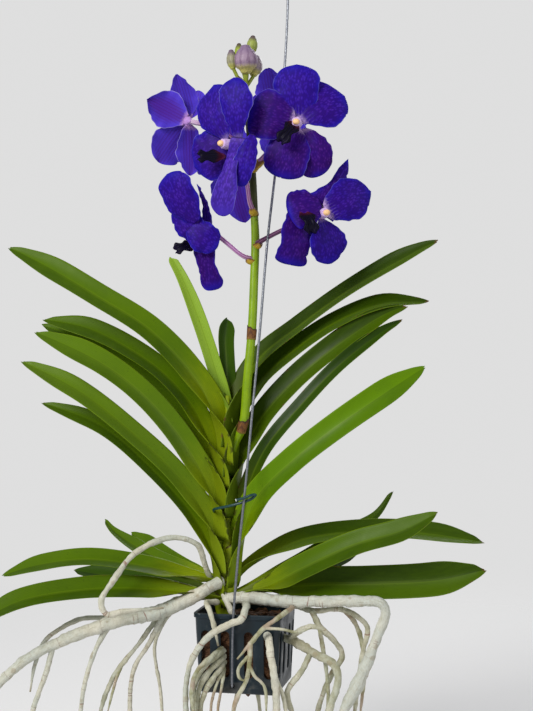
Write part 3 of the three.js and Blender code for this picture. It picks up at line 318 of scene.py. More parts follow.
def ribbed(radii, ribs, depth, twist=0):
    """The radius of a run whose section has soft ribs."""
    return lambda u, angle: profile(radii, u) * (1 + depth * math.cos(ribs * angle + twist * u))


class Route:
    """A smooth curve through a list of places, read by its own points or by its length."""

    def __init__(self, places):
        self.places = [Vector(place) for place in places]
        steps = 30 * (len(places) - 1)
        self.line = [self.at_knot(k / steps) for k in range(steps + 1)]
        self.reach = [0.0, *accumulate((b - a).length for a, b in zip(self.line, self.line[1:]))]
        self.length = self.reach[-1]

    def at_knot(self, share):
        last = len(self.places) - 1
        i = min(int(clamp(share) * last), last - 1)
        w = clamp(share) * last - i
        p1, p2 = self.places[i], self.places[i + 1]
        p0 = self.places[i - 1] if i else 2 * p1 - p2
        p3 = self.places[i + 2] if i + 2 <= last else 2 * p2 - p1
        d0, d1, d2 = ((b - a).length ** 0.5 for a, b in ((p0, p1), (p1, p2), (p2, p3)))
        leave = ((p1 - p0) / d0 - (p2 - p0) / (d0 + d1) + (p2 - p1) / d1) * d1
        arrive = ((p2 - p1) / d1 - (p3 - p1) / (d1 + d2) + (p3 - p2) / d2) * d1
        square = -3 * p1 + 3 * p2 - 2 * leave - arrive
        cube = 2 * p1 - 2 * p2 + leave + arrive
        return p1 + leave * w + square * w**2 + cube * w**3

    def at(self, share):
        spot = clamp(share) * self.length
        i = min(max(bisect.bisect_right(self.reach, spot) - 1, 0), len(self.line) - 2)
        step = self.reach[i + 1] - self.reach[i]
        return self.line[i].lerp(self.line[i + 1], (spot - self.reach[i]) / step)

    def way(self, share):
        return (self.at(share + 0.006) - self.at(share - 0.006)).normalized()


class Skin:
    """Points and faces of a piece, and what is told of each point.

    share is how far the point lies across and along, and on which face. flat is its place on the flattened piece.
    """

    def __init__(self):
        self.points, self.faces = [], []
        self.told = {"share": [], "flat": [], "tone": [], "claw": [], "rim": []}
        self.claw, self.rim = 1.0, 0.3

    def add(self, point, share, flat, tone):
        self.points.append((point + PLACE_SHIFT) / 1000)
        for values, value in zip(self.told.values(), (share, flat, tone, self.claw, self.rim)):
            values.append(value)
        return len(self.points) - 1

    def join_rings(self, rings, tone):
        """Joins rings of (point, share, flat) and closes both ends on their middles."""
        count = len(rings[0])
        index = [[self.add(point, share, flat, tone) for point, share, flat in ring] for ring in rings]
        for low, high in zip(index, index[1:]):
            for i in range(count):
                k = (i + 1) % count
                self.faces.append([low[i], low[k], high[k], high[i]])
        for ring, row, turn in ((rings[0], index[0], -1), (rings[-1], index[-1], 1)):
            middle = sum((point for point, _, _ in ring), Vector()) / count
            pole = self.add(middle, ring[0][1], (0.0, ring[0][2][1], 0.0), tone)
            self.faces += [[pole, row[i], row[(i + 1) % count]][::turn] for i in range(count)]

    def join_plain_rings(self, rings):
        self.join_rings([[(point, (0.0, 0.0, 0.0), (0.0, 0.0, 0.0)) for point in ring] for ring in rings], 0.3)

    def blade(self, grid, us, vs, thickness, tone, upper=1):
        """A closed blade about a grid of places. Its two faces meet in a thin edge all round.

        thickness(u, v) gives how far each face lies from the grid, as (upper, under). upper is 1 where the
        blade's inner face is on the side of along x across, and -1 where it is on the other.
        """
        middle, ends, sides = len(vs) // 2, (0, len(us) - 1), (0, len(vs) - 1)
        reach = [0.0, *accumulate((b[middle] - a[middle]).length for a, b in zip(grid, grid[1:]))]
        index = {1: {}, -1: {}}
        for i, u in enumerate(us):
            half = (grid[i][-1] - grid[i][0]).length / 2
            for j, v in enumerate(vs):
                flat = (v * half, reach[i], 0.0)
                if i in ends or j in sides:
                    index[1][i, j] = index[-1][i, j] = self.add(grid[i][j], (v, u, 0.0), flat, tone)
                    continue
                along = grid[i + 1][j] - grid[i - 1][j]
                normal = along.cross(grid[i][j + 1] - grid[i][j - 1]).normalized()
                lifts = thickness(u, v)
                for side in (1, -1):
                    point = grid[i][j] + normal * side * lifts[side != upper]
                    index[side][i, j] = self.add(point, (v, u, float(side * upper)), flat, tone)
        for i in range(ends[1]):
            for j in range(sides[1]):
                ring = ((i, j), (i + 1, j), (i + 1, j + 1), (i, j + 1))
                self.faces.append([index[1][spot] for spot in ring])
                self.faces.append([index[-1][spot] for spot in reversed(ring)])

    def tube(self, route, radius, sides, step, tone=0.5, by_knots=False, caps=(0.7, 0.7), slant=None):
        """A round run along a route. radius(u, angle) is its radius; caps say how far each end domes out."""
        route = Route(route)
        count = max(3, round(route.length / step))
        shares = [k / count for k in range(count + 1)]
        centres, ways = [route.at(u) for u in shares], [route.way(u) for u in shares]
        if by_knots:
            centres = [route.at_knot(u) for u in shares]
            ways = [(route.at_knot(u + 0.002) - route.at_knot(u - 0.002)).normalized() for u in shares]
        across = Vector((1, 0, 0)) if abs(ways[0].y) > 0.9 else BACK
        domes = [math.radians(lift) for lift in (25, 50, 75)]
        rings, reach = [], 0.0
        for k, (u, centre, way) in enumerate(zip(shares, centres, ways)):
            across = (across - way * across.dot(way)).normalized()
            aside = way.cross(across)
            reach += (centre - centres[k - 1]).length if k else 0
            size, stations = radius(u, 0), [(1, 0)]
            if k == 0 and caps[0]:
                stations = [(math.cos(t), -caps[0] * size * math.sin(t)) for t in reversed(domes)] + stations
            if k == count and caps[1]:
                stations += [(math.cos(t), caps[1] * size * math.sin(t)) for t in domes]
            for scale, shift in stations:
                ring = []
                for i in range(sides):
                    angle = 2 * math.pi * i / sides
                    x, z, spoke = math.cos(angle), math.sin(angle), radius(u, angle) * scale
                    lift = shift + (slant(u, angle) if slant else 0)
                    ring.append((centre + (across * x + aside * z) * spoke + way * lift,
                                 (x, u, z), (spoke * x, reach + shift, spoke * z)))
                rings.append(ring)
        self.join_rings(rings, tone)


def placed(name, data):
    """Puts a mesh, a lamp or a camera into the scene."""
    made = bpy.data.objects.new(name, data)
    bpy.context.scene.collection.objects.link(made)
    return made


def shaped(name, points, edges, faces, told):
    """A mesh object. told holds a list of values for its points under each name."""
    mesh = bpy.data.meshes.new(name)
    mesh.from_pydata(points, edges, faces)
    for key, values in told.items():
        if isinstance(values[0], tuple):
            layer = mesh.attributes.new(key, "FLOAT_VECTOR", "POINT")
            layer.data.foreach_set("vector", [x for value in values for x in value])
        else:
            mesh.attributes.new(key, "FLOAT", "POINT").data.foreach_set("value", values)
    return placed(name, mesh)


def settle(made, slot, *stands_for):
    """Lets a piece ride on the plant's one body, smoothly shaded."""
    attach(made, "root")
    if stands_for:
        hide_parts(*stands_for)


def piece(name, skin, coat, slot, *stands_for):
    made = shaped(name, skin.points, [], skin.faces, skin.told)
    made.data.materials.append(coat)
    made.data.shade_smooth()
    settle(made, slot, *stands_for)


def baked(made):
    """A new plain mesh object of what the modifiers make of this one, which is then removed."""
    name = made.name
    mesh = bpy.data.meshes.new_from_object(made.evaluated_get(bpy.context.evaluated_depsgraph_get()))
    bpy.data.objects.remove(made)
    mesh.name = name
    mesh.shade_smooth()
    return placed(name, mesh)


def grown(made, tree, **values):
    """Runs a geometry tree on an object, with values for its named inputs, and keeps what it makes."""
    modifier = made.modifiers.new(tree.name, "NODES")
    modifier.node_group = tree
    for item in tree.interface.items_tree:
        label = item.name.replace(" ", "_")
        if item.in_out == "INPUT" and label in values:
            modifier[item.identifier] = values[label]
    return baked(made)


# ---------------------------------------------------------------- nodes
class Value:
    """What a node puts out. Values add, subtract, multiply and divide by adding math nodes."""

    def __init__(self, sketch, socket):
        self.sketch, self.socket = sketch, socket

    __add__ = lambda self, other: self.sketch.calc("ADD", self, other)
    __radd__ = lambda self, other: self.sketch.calc("ADD", other, self)
    __mul__ = __rmul__ = lambda self, other: self.sketch.calc("MULTIPLY", self, other)
    __sub__ = lambda self, other: self.sketch.calc("SUBTRACT", self, other)
    __rsub__ = lambda self, other: self.sketch.calc("SUBTRACT", other, self)
    __truediv__ = lambda self, other: self.sketch.calc("DIVIDE", self, other)
    __rtruediv__ = lambda self, other: self.sketch.calc("DIVIDE", other, self)
    __abs__ = lambda self: self.sketch.calc("ABSOLUTE", self)


class Sketch:
    """Adds nodes to a tree. What goes into a node may be a number, a colour or another node's value."""

    def __init__(self, tree):
        self.tree = tree

    def node(self, kind, inputs=(), **settings):
        made = self.tree.nodes.new(kind)
        for key, value in settings.items():
            setattr(made, key, value)
        for key, value in dict(inputs).items():
            socket = made.inputs[key]
            if isinstance(value, Value):
                self.tree.links.new(value.socket, socket)
            else:
                socket.default_value = (*value, 1) if socket.type == "RGBA" else value
        return [Value(self, socket) for socket in made.outputs]

    def make(self, kind, inputs=(), **settings):
        return self.node(kind, inputs, **settings)[0]

    def calc(self, operation, *terms, limit=False):
        return self.make("ShaderNodeMath", enumerate(terms), operation=operation, use_clamp=limit)

    def vector(self, operation, *terms):
        return self.make("ShaderNodeVectorMath", enumerate(terms), operation=operation)

    def combine(self, *terms):
        return self.make("ShaderNodeCombineXYZ", enumerate(terms))

    def split(self, vector):
        return self.node("ShaderNodeSeparateXYZ", {0: vector})

    def stretch(self, vector, *scale):
        return self.vector("MULTIPLY", vector, scale)

    def band(self, value, low, high):
        """0 at low and 1 at high, smoothly. low may be the larger."""
        turned = not isinstance(low, Value) and low > high
        ends = (high, low, 1.0, 0.0) if turned else (low, high, 0.0, 1.0)
        return self.make("ShaderNodeMapRange", enumerate((value, *ends)), interpolation_type="SMOOTHSTEP")

    def mix(self, share, a, b):
        return self.node("ShaderNodeMix", {0: share, 6: a, 7: b}, data_type="RGBA")[2]

    def coats(self, colour, *layers):
        """Lays colours over each other. A layer is its colour and the shares that make up its strength."""
        for over, strength, *shares in layers:
            for share in shares:
                strength = strength * share
            colour = self.mix(strength, colour, over)
        return colour

    def lerp(self, share, a, b):
        return self.make("ShaderNodeMix", {0: share, 2: a, 3: b})

    def noise(self, vector, size, detail=2.0, roughness=0.5):
        """Noise from 0 to 1 with bumps about `size` across."""
        return self.make("ShaderNodeTexNoise", {"Vector": vector, "Scale": 1 / size, "Detail": detail,
                                                "Roughness": roughness})

    def cells(self, vector, size):
        return self.make("ShaderNodeTexVoronoi", {"Vector": vector, "Scale": 1 / size})

    def dressed(self, geometry, coat):
        """Ends a geometry tree: plain faces in their finish."""
        whole = self.make("GeometryNodeRealizeInstances", {"Geometry": geometry})
        return self.make("GeometryNodeSetMaterial", {"Geometry": whole, "Material": coat})


SOCKET_KINDS = {tuple: "Vector", float: "Float", int: "Int"}


def node_tree(kind, inputs, *outputs):
    """Makes a node tree of the function below. Each input has its value, or the name of its kind."""
    def build(function):
        tree = bpy.data.node_groups.new(function.__name__, kind)
        for label, value in inputs.items():
            socket_type = "NodeSocket" + SOCKET_KINDS.get(type(value), value)
            socket = tree.interface.new_socket(label, in_out="INPUT", socket_type=socket_type)
            if not isinstance(value, str):
                socket.default_value = value
        s = Sketch(tree)
        given = s.node("NodeGroupInput")[:len(inputs)]
        made = function(s, *given)
        out_kind = "NodeSocketGeometry" if kind == "GeometryNodeTree" else "NodeSocketFloat"
        for label in outputs:
            tree.interface.new_socket(label, in_out="OUTPUT", socket_type=out_kind)
        for value, socket in zip(made, tree.nodes.new("NodeGroupOutput").inputs):
            tree.links.new(value.socket, socket)
        return tree
    return build


@node_tree("ShaderNodeTree", {"Flat": (0, 0, 0), "Spacing": 1.5, "Waver": 0.6, "Sharpness": 2.0}, "Height", "Lines")
def long_veins(s, flat, spacing, waver, sharpness):
    """Parallel lines along a blade or a root, from its flattened place."""
    wander = s.noise(s.stretch(flat, 0.05, 0.02, 0.05), 1.0)
    lane = (s.split(flat)[0] + wander * waver) / spacing
    height = s.calc("MULTIPLY_ADD", s.calc("COSINE", lane * (2 * math.pi)), 0.5, 0.5)
    return height, s.calc("POWER", height, sharpness)


@node_tree("ShaderNodeTree", {"Place": (0, 0, 0), "Size": 10.0, "Softness": 0.15}, "Patches")
def mottling(s, place, size, softness):
    """Soft cloudy patches, 0 to 1."""
    return [s.band(s.noise(place, size, 3.0, 0.6), 0.5 - softness, 0.5 + softness)]


@node_tree("ShaderNodeTree", {"Share": (0, 0, 0), "Width": 0.08}, "Band")
def edge_band(s, share, width):
    """1 along a blade's two edges, from its share across."""
    return [s.band(abs(s.split(share)[0]), 1.0 - width, 1.0)]


@node_tree("ShaderNodeTree", {"Place": (0, 0, 0), "Size": 4.0, "Amount": 0.3}, "Marks")
def age_marks(s, place, size, amount):
    """Small scattered marks of age, 0 to 1."""
    scale = 1.0 / size
    spots = s.make("ShaderNodeTexVoronoi", {"Vector": place, "Scale": scale})
    wide = s.make("ShaderNodeTexNoise", {"Vector": place, "Scale": scale * 0.22})
    return [s.band(spots - amount * s.band(wide, 0.42, 0.62), 0.06, -0.06)]


class Finish(Sketch):
    """The sketch of a material, which reads what is told of each point and places the shared effects."""

    def read(self, name, output):
        return self.node("ShaderNodeAttribute", attribute_name=name)[output]

    share = cached_property(lambda self: self.read("share", 1))
    flat = cached_property(lambda self: self.read("flat", 1))
    tone = cached_property(lambda self: self.read("tone", 2))
    claw = cached_property(lambda self: self.read("claw", 2))
    rim = cached_property(lambda self: self.read("rim", 2))
    sides = cached_property(lambda self: self.split(self.share))
    x, y, z = (property(lambda self, i=i: self.sides[i]) for i in range(3))
    place = cached_property(lambda self: self.stretch(self.node("ShaderNodeTexCoord")[3], 1000, 1000, 1000))

    def group(self, tree, *values):
        labels = [item.name for item in tree.interface.items_tree if item.in_out == "INPUT"]
        return self.node("ShaderNodeGroup", zip(labels, values), node_tree=tree)

    def veins(self, spacing, waver, sharpness):
        return self.group(long_veins, self.flat, spacing, waver, sharpness)

    def patches(self, size, softness, place=None):
        return self.group(mottling, place or self.place, size, softness)[0]

    def marks(self, size, amount, place=None):
        return self.group(age_marks, place or self.place, size, amount)[0]

    def edge(self, width):
        return self.group(edge_band, self.share, width)[0]

    def ribs(self, count, shift, low, high):
        """Ribs along a round run, from its turn about its middle line."""
        turn = self.calc("ARCTAN2", self.z, self.x)
        return self.band(self.calc("SINE", turn * count + shift), low, high)

    def bump(self, height, strength, depth):
        """depth is in millimetres."""
        return self.make("ShaderNodeBump", {"Height": height, "Strength": strength, "Distance": depth / 1000})


def finish(specular=0.5, name=None, **plain):
    """Makes a material of the function below, which gives its colour, roughness, bump and any metal."""
    def build(look):
        material = bpy.data.materials.new(name or look.__name__)
        material.use_nodes = True
        tree = material.node_tree
        shader = tree.nodes["Principled BSDF"].inputs
        for label, value in {"Specular IOR Level": specular, **plain}.items():
            shader[label.replace("_", " ")].default_value = value
        made = look(Finish(tree))
        if not isinstance(made, dict):
            made = dict(zip(("Base Color", "Roughness", "Normal", "Metallic"), made))
        for label, value in made.items():
            tree.links.new(value.socket, shader[label])
        return material
    return build


# ---------------------------------------------------------------- the finishes
def dimmed(colour, share):
    return [share * c for c in colour]


def leaf_finish(name, young, ripe, old):
    """Waxy strap leaf: yellowish at its base, fine long veins, light edges, a worn tip, and painted light and shade.
    """

    @finish(0.1, name)
    def look(s):
        raised, lines = s.veins(1.3, 1.0, 2.0)
        clouds = s.patches(30.0, 0.2)
        fine = s.patches(3.0, 0.25, s.stretch(s.flat, 1.0, 0.2, 1.0))
        # painted light and shade: one half of the folded blade is painted lighter and the other darker, as light falls
        # on the fold; a tone above 0.5 swaps the halves, and the effect fades out towards the palest tone, -1
        half = abs(s.band(s.x, -0.03, 0.03) - s.band(s.tone, 0.45, 0.55))
        painted_fold_light = s.band(s.tone, -1.0, 0.0)
        worn = s.marks(6.0, 0.34) * s.edge(0.16) * s.band(s.tone, 0.0, 0.9)
        colour = s.coats(
            ripe,
            (old, clouds, 0.6),
            (young, s.band(s.y + fine * 0.04, 0.42, 0.10)),
            # painted shade over the whole blade towards tone 1, and painted light towards tone -1
            (dimmed(old, 0.42), s.band(s.tone, 0.0, 1.0), 0.85),
            ((0.27, 0.42, 0.040), s.band(s.tone, 0.0, -1.0)),
            ((1.5 * ripe[0], 1.4 * ripe[1], 0.002), half, painted_fold_light, 0.30),
            (dimmed(old, 0.4), 1.0 - half, painted_fold_light, 0.22),
            (dimmed(ripe, 1.5), fine, 0.10),
            (dimmed(old, 0.5), lines, 0.16),
            (dimmed(old, 0.45), s.band(abs(s.x), 0.05, 0.0), 0.35),
            ((0.20, 0.30, 0.012), s.band(abs(s.x), 0.16, 0.05), s.band(s.y, 0.95, 0.6), 0.16),
            ((0.22, 0.32, 0.012), s.edge(0.06), 0.55),
            ((0.022, 0.012, 0.004), s.edge(0.24), s.band(s.y + clouds * 0.08, 0.34, 0.22), s.marks(7.0, 0.5)),
            ((0.10, 0.155, 0.012), s.band(s.z, 0.2, -0.2), 0.35),
            ((0.10, 0.05, 0.015), s.band(s.y + fine * 0.006, 0.990, 1.0), s.band(s.tone, 0.1, 0.8), 0.8),
            ((0.12, 0.065, 0.018), worn),
            ((0.02, 0.03, 0.003), s.marks(3.0, 0.17), 0.35))
        relief = raised * 0.5 - worn * 0.8 + s.noise(s.flat, 1.2) * 0.2
        return colour, s.lerp(worn, s.lerp(clouds, 0.33, 0.44), 0.7), s.bump(relief, 0.2, 0.2)

    return look


@finish(0.06)
def velvet_tepal(s):
    """Blue-violet. tone 0 to 1 reddens the middle to maroon, and above 1 the blade is paler."""
    off_middle = abs(s.x)
    clouds, fine = s.patches(9.0, 0.22), s.patches(1.5, 0.3)
    veins = s.veins(2.6, 2.2, 6.0)[1]
    raised, threads = s.veins(1.0, 1.4, 2.0)
    cells = s.cells(s.stretch(s.flat, 1.0, 0.55, 1.0), 1.7)
    inside = s.band(off_middle, 1.0, 0.75) * s.band(s.y, 0.99, 0.82)
    reach = s.calc("MAXIMUM", off_middle, s.y * 0.98) - s.band(s.tone, 0.9, 1.1)
    middle = s.band(reach, 1.0, 0.5) * s.band(s.y, 1.04, 0.82)
    pale = s.band(s.tone, 1.2, 1.8)
    maroon = s.calc("MINIMUM", s.tone, 1.0)
    red = middle * maroon * (1.0 - pale) * (0.6 + clouds * 0.4)
    glow = s.band(off_middle, 0.8, 0.1) * s.band(s.y, 0.98, 0.55) * (0.35 + clouds * 0.6)
    spots = s.band(cells, 0.48, 0.12) * inside * (fine * 0.6 + clouds * 0.5)
    rays = veins * s.band(s.y + clouds * 0.16, 0.40, 0.10)
    foot = s.band(s.y + fine * 0.05, 0.21, 0.08)
    edges = s.edge(0.055) * s.rim
    front = s.coats(
        (0.012, 0.007, 0.30),
        ((0.017, 0.003, 0.26), inside, 0.6),
        ((0.030, 0.001, 0.068), red),
        ((0.040, 0.006, 0.27), clouds, 0.2),
        ((0.085, 0.012, 0.42), glow, s.lerp(s.band(s.tone, 1.0, 1.3), 0.10, 0.60)),
        ((0.075, 0.034, 0.40), pale, 0.7),
        ((0.010, 0.001, 0.085), s.band(cells, 0.40, 0.62), inside, 0.45),
        (s.mix(red * 0.6, (0.12, 0.052, 0.52), (0.15, 0.030, 0.27)), spots, s.lerp(pale, 0.34, 0.5)),
        ((0.09, 0.02, 0.30), threads, inside, 0.14),
        ((0.36, 0.24, 0.62), rays, s.claw, s.lerp(fine, 0.1, 0.5)),
        ((0.60, 0.42, 0.68), foot, s.claw, 0.9),
        ((0.26, 0.22, 0.60), edges))
    ribs = s.band(off_middle, 0.85, 0.2) * maroon * (1.0 - pale)
    back = s.coats(
        (0.078, 0.044, 0.56),
        ((0.046, 0.014, 0.32), threads, 0.5),
        ((0.060, 0.008, 0.17), veins, s.band(off_middle, 0.9, 0.4), 0.6),
        ((0.070, 0.004, 0.14), ribs, 0.5 + threads * 0.4),
        ((0.50, 0.27, 0.52), foot, 0.85),
        ((0.34, 0.28, 0.66), s.calc("MULTIPLY", edges, 1.6, limit=True)))
    colour = s.mix(s.band(s.z, 0.3, -0.3) * 0.95, front, back)
    relief = raised * 0.25 + s.band(cells, 0.6, 0.1) * 0.35 + s.noise(s.flat, 0.5) * 0.25
    return colour, s.lerp(clouds, 0.42, 0.55), s.bump(relief, 0.35, 0.25)


@finish(0.1)
def dark_lip(s):
    """Nearly black: a brown-red throat, raised long veins and a violet bloom towards its tip."""
    fine = s.noise(s.flat, 0.9, 3.0)
    raised, veins = s.veins(1.5, 0.5, 3.0)
    colour = s.coats(
        (0.060, 0.003, 0.012),
        ((0.0012, 0.0006, 0.006), s.band(s.y, 0.06, 0.28)),
        ((0.18, 0.04, 0.16), s.band(s.y, 0.12, 0.02), 0.5),
        ((0.010, 0.004, 0.045), veins, 0.3),
        ((0.012, 0.003, 0.05), s.band(s.y, 0.7, 1.0), 0.3))
    return colour, s.lerp(fine, 0.35, 0.6), s.bump(raised * 0.5 + fine * 0.5, 0.5, 0.3)


@finish(0.35)
def column_and_cap(s):
    """Lilac-white column under a cream cap with an orange blush. tone is 1 on the cap."""
    fine = s.noise(s.place, 1.1, 3.0)
    column = s.coats((0.46, 0.26, 0.62), ((0.60, 0.42, 0.72), s.band(s.y, 0.2, 0.75)),
                     ((0.40, 0.12, 0.42), s.band(fine, 0.56, 0.7)))
    cap = s.coats((0.92, 0.60, 0.45), ((0.92, 0.58, 0.30), s.band(s.y, 0.2, 0.9)),
                  ((0.78, 0.36, 0.12), s.band(fine, 0.5, 0.7), 0.5))
    return s.mix(s.tone, column, cap), s.lerp(fine, 0.35, 0.5), s.bump(fine, 0.3, 0.2)


@finish(0.3)
def striped_stalk(s):
    """Lilac-pink with pale ribs. tone 1 is a dark stalk."""
    ribs = s.ribs(6.0, s.y * 5.0, -0.3, 0.9)
    fine = s.noise(s.stretch(s.flat, 1, 0.3, 1), 1.2, 3.0)
    colour = s.coats(
        (0.30, 0.13, 0.20),
        ((0.36, 0.12, 0.36), s.band(s.y, 0.0, 0.35)),
        ((0.62, 0.42, 0.60), ribs, 0.75),
        ((0.66, 0.48, 0.66), s.band(s.y, 0.72, 1.0)),
        ((0.26, 0.07, 0.22), s.band(fine, 0.5, 0.75), 0.35),
        (s.mix(ribs, (0.075, 0.018, 0.060), (0.19, 0.07, 0.15)), s.tone, s.band(s.y, 0.95, 0.6)))
    return colour, s.lerp(fine, 0.38, 0.52), s.bump(ribs, 0.3, 0.3)


@finish(0.3)
def green_spike(s):
    """Yellow-green, dark olive between the blooms, with fine long streaks."""
    height, clouds = s.split(s.place)[2], s.patches(8.0, 0.25)
    streaks = s.noise(s.stretch(s.flat, 1, 0.06, 1), 0.9, 3.0)
    olive = s.mix(clouds * 0.6, (0.034, 0.040, 0.008), (0.085, 0.105, 0.010))
    colour = s.coats(
        (0.215, 0.350, 0.004),
        ((0.115, 0.205, 0.003), clouds, 0.45),
        ((0.32, 0.42, 0.015), s.band(streaks, 0.5, 0.7), 0.3),
        (olive, s.band(height + clouds * 14, -256, -246)),
        ((0.25, 0.30, 0.03), s.band(height, -158, -146)),
        ((0.06, 0.035, 0.01), s.marks(2.2, 0.2), 0.4))
    return colour, s.lerp(clouds, 0.34, 0.46), s.bump(streaks, 0.25, 0.25)


@finish(0.3)
def dry_bract(s):
    """Small scales, yellow with brown edges at tone 0, and dry papery rings round the spike at tone 1."""
    fine = s.noise(s.stretch(s.flat, 1, 0.3, 1), 1.4, 3.0)
    scale = s.coats(
        (0.46, 0.30, 0.020),
        ((0.17, 0.07, 0.02), s.band(s.calc("MAXIMUM", abs(s.x), s.y) + fine * 0.3, 0.85, 1.15)),
        ((0.28, 0.12, 0.02), s.band(fine, 0.5, 0.75), 0.5))
    paper = s.coats(
        (0.20, 0.085, 0.020),
        ((0.085, 0.032, 0.012), s.band(fine, 0.35, 0.65)),
        ((0.32, 0.20, 0.04), s.band(s.y, 0.25, 0.0), 0.6),
        ((0.035, 0.014, 0.008), s.band(s.y, 0.82, 1.0)))
    return s.mix(s.tone, scale, paper), s.lerp(s.tone, 0.45, 0.7), s.bump(fine, 0.5, 0.4)


@finish(0.3)
def veined_bud(s):
    """Green at tone 0 to lilac-grey at tone 1, with long veins and a green foot."""
    fine = s.noise(s.stretch(s.flat, 1, 0.2, 1), 1.3, 3.0)
    veins = s.ribs(9.0, fine * 5.0, 0.2, 0.95)
    lilac = s.coats(
        (0.32, 0.225, 0.31),
        ((0.15, 0.08, 0.15), veins, 0.6),
        ((0.60, 0.54, 0.15), s.band(s.y + fine * 0.2, 0.42, 0.14)),
        ((0.17, 0.11, 0.21), s.band(s.y, 0.5, 1.0), 0.7))
    green = s.coats(
        (0.30, 0.38, 0.03),
        ((0.14, 0.19, 0.012), veins, 0.4),
        ((0.075, 0.05, 0.04), s.band(s.y + fine * 0.25, 0.70, 1.1)))
    return s.mix(s.tone, green, lilac), s.lerp(fine, 0.36, 0.52), s.bump(veins + fine, 0.25, 0.3)


@finish(0.25)
def old_sheath(s):
    """Yellow-green, streaked, brown at its rim."""
    clouds = s.patches(9.0, 0.2)
    streaks = s.noise(s.stretch(s.flat, 1, 0.05, 1), 1.2, 3.0)
    colour = s.coats(
        (0.300, 0.370, 0.004),
        ((0.170, 0.240, 0.003), clouds),
        ((0.40, 0.38, 0.015), s.band(streaks, 0.5, 0.75), 0.4),
        ((0.075, 0.038, 0.014), s.band(s.y + streaks * 0.08, 0.93, 1.0), 0.85),
        ((0.06, 0.035, 0.012), s.marks(3.4, 0.3), 0.5))
    return colour, s.lerp(clouds, 0.4, 0.6), s.bump(streaks, 0.45, 0.5)


@finish(0.2)
def root_skin(s):
    """Spongy, ivory to blue-grey, cracked round in places. tone 1 is an olive, thinner root."""
    clouds, small = s.patches(11.0, 0.2), s.patches(1.8, 0.22, s.stretch(s.place, 1, 1, 0.6))
    streaks = s.noise(s.stretch(s.flat, 1, 0.10, 1), 0.8, 4.0, 0.6)
    olive = s.mix(clouds * 0.8, (0.37, 0.38, 0.21), (0.20, 0.19, 0.085))
    walk = s.noise(s.stretch(s.flat, 0.05, 1, 0.05), 26.0, 2.0, 0.7)
    crack = s.band(abs(walk - 0.5), 0.005, 0.0) * s.band(s.noise(s.place, 19.0, 1.0), 0.48, 0.58)
    colour = s.coats(
        (0.70, 0.67, 0.57),
        ((0.54, 0.57, 0.52), s.patches(45.0, 0.12)),
        ((0.44, 0.41, 0.32), small, 0.45),
        (olive, s.tone, 0.35 + clouds * 0.65),
        ((0.34, 0.22, 0.17), s.band(s.tone, 0.7, 1.0), s.band(s.noise(s.place, 24.0, 1.0), 0.5, 0.62), 0.6),
        ((0.24, 0.23, 0.15), s.band(streaks, 0.52, 0.70), 0.5),
        ((0.20, 0.15, 0.08), s.band(s.cells(s.place, 1.5), 0.22, 0.08), s.band(clouds, 0.3, 0.8), 0.5),
        ((0.24, 0.10, 0.07), crack, 0.75),
        ((0.26, 0.18, 0.09), s.marks(7.0, 0.36), 0.35),
        ((0.24, 0.15, 0.07), s.band(s.y, 0.93, 1.0), 0.5))
    relief = streaks * 0.8 + small * 0.35 - crack * 1.2
    return colour, s.lerp(small, 0.75, 0.92), s.bump(relief, 0.6, 0.5)


@finish(0.35)
def pot_plastic(s):
    """Blue-black, with fine scuffs, and pale lime and dust towards its foot."""
    dust, scuffs = s.patches(14.0, 0.16), s.marks(2.6, 0.24, s.stretch(s.place, 1, 1, 0.35))
    colour = s.coats(
        (0.003, 0.011, 0.018),
        ((0.013, 0.026, 0.035), dust, 0.5),
        ((0.07, 0.075, 0.07), scuffs, 0.25),
        ((0.14, 0.13, 0.11), s.band(s.split(s.place)[2], -655, -680), s.band(dust, 0.3, 0.9), 0.35))
    return colour, s.lerp(s.calc("MAXIMUM", dust, scuffs), 0.30, 0.5), s.bump(s.noise(s.place, 0.5), 0.12, 0.15)


@finish(0.2)
def bark_pieces(s):
    layers = s.noise(s.stretch(s.place, 0.4, 0.4, 1.6), 1.6, 4.0, 0.65)
    colour = s.coats((0.055, 0.024, 0.012), ((0.16, 0.075, 0.035), s.tone),
                     ((0.030, 0.014, 0.008), s.band(layers, 0.42, 0.68)))
    return colour, s.lerp(layers, 0.75, 0.95), s.bump(layers, 0.9, 1.0)


@finish()
def zinc_wire(s):
    zinc = s.cells(s.place, 2.2)
    drawn = s.noise(s.stretch(s.flat, 1, 0.04, 1), 0.35, 3.0)
    colour = s.coats((0.27, 0.285, 0.31), ((0.18, 0.19, 0.22), s.band(zinc, 0.1, 0.7)),
                     ((0.40, 0.42, 0.45), s.band(drawn, 0.5, 0.75), 0.3))
    return colour, s.lerp(zinc, 0.33, 0.5), s.bump(drawn, 0.2, 0.1), s.lerp(drawn, 0.75, 0.9)


@finish()
def coated_tie(s):
    """Plastic-coated wire with its bare cut end."""
    fine = s.noise(s.place, 1.5, 3.0)
    colour = s.coats((0.004, 0.055, 0.052), ((0.002, 0.028, 0.030), fine),
                     ((0.62, 0.64, 0.62), s.band(s.y, 0.985, 0.995)))
    return colour, s.lerp(fine, 0.28, 0.42), s.bump(fine, 0.15, 0.1)


@finish(0.1, Base_Color=(0.8, 0.8, 0.8, 1), Roughness=0.9)
def pale_floor(s):
    distance = s.node("ShaderNodeVectorMath", {0: s.stretch(s.node("ShaderNodeTexCoord")[3], 1, 1, 0)},
                      operation="LENGTH")[1]
    return {"Alpha": s.band(distance, 1.5, 0.35)}


# leaf_bright and leaf_dark are the leaf finish with painted light and painted shade in its colours
LEAF_FINISHES = {
    "leaf": leaf_finish("strap_leaf", (0.330, 0.400, 0.002), (0.070, 0.136, 0.001), (0.038, 0.084, 0.001)),
    "leaf_bright": leaf_finish("young_leaf", (0.260, 0.360, 0.002), (0.090, 0.190, 0.001), (0.062, 0.140, 0.001)),
    "leaf_dark": leaf_finish("shaded_leaf", (0.200, 0.270, 0.002), (0.030, 0.072, 0.001), (0.016, 0.045, 0.001)),
}

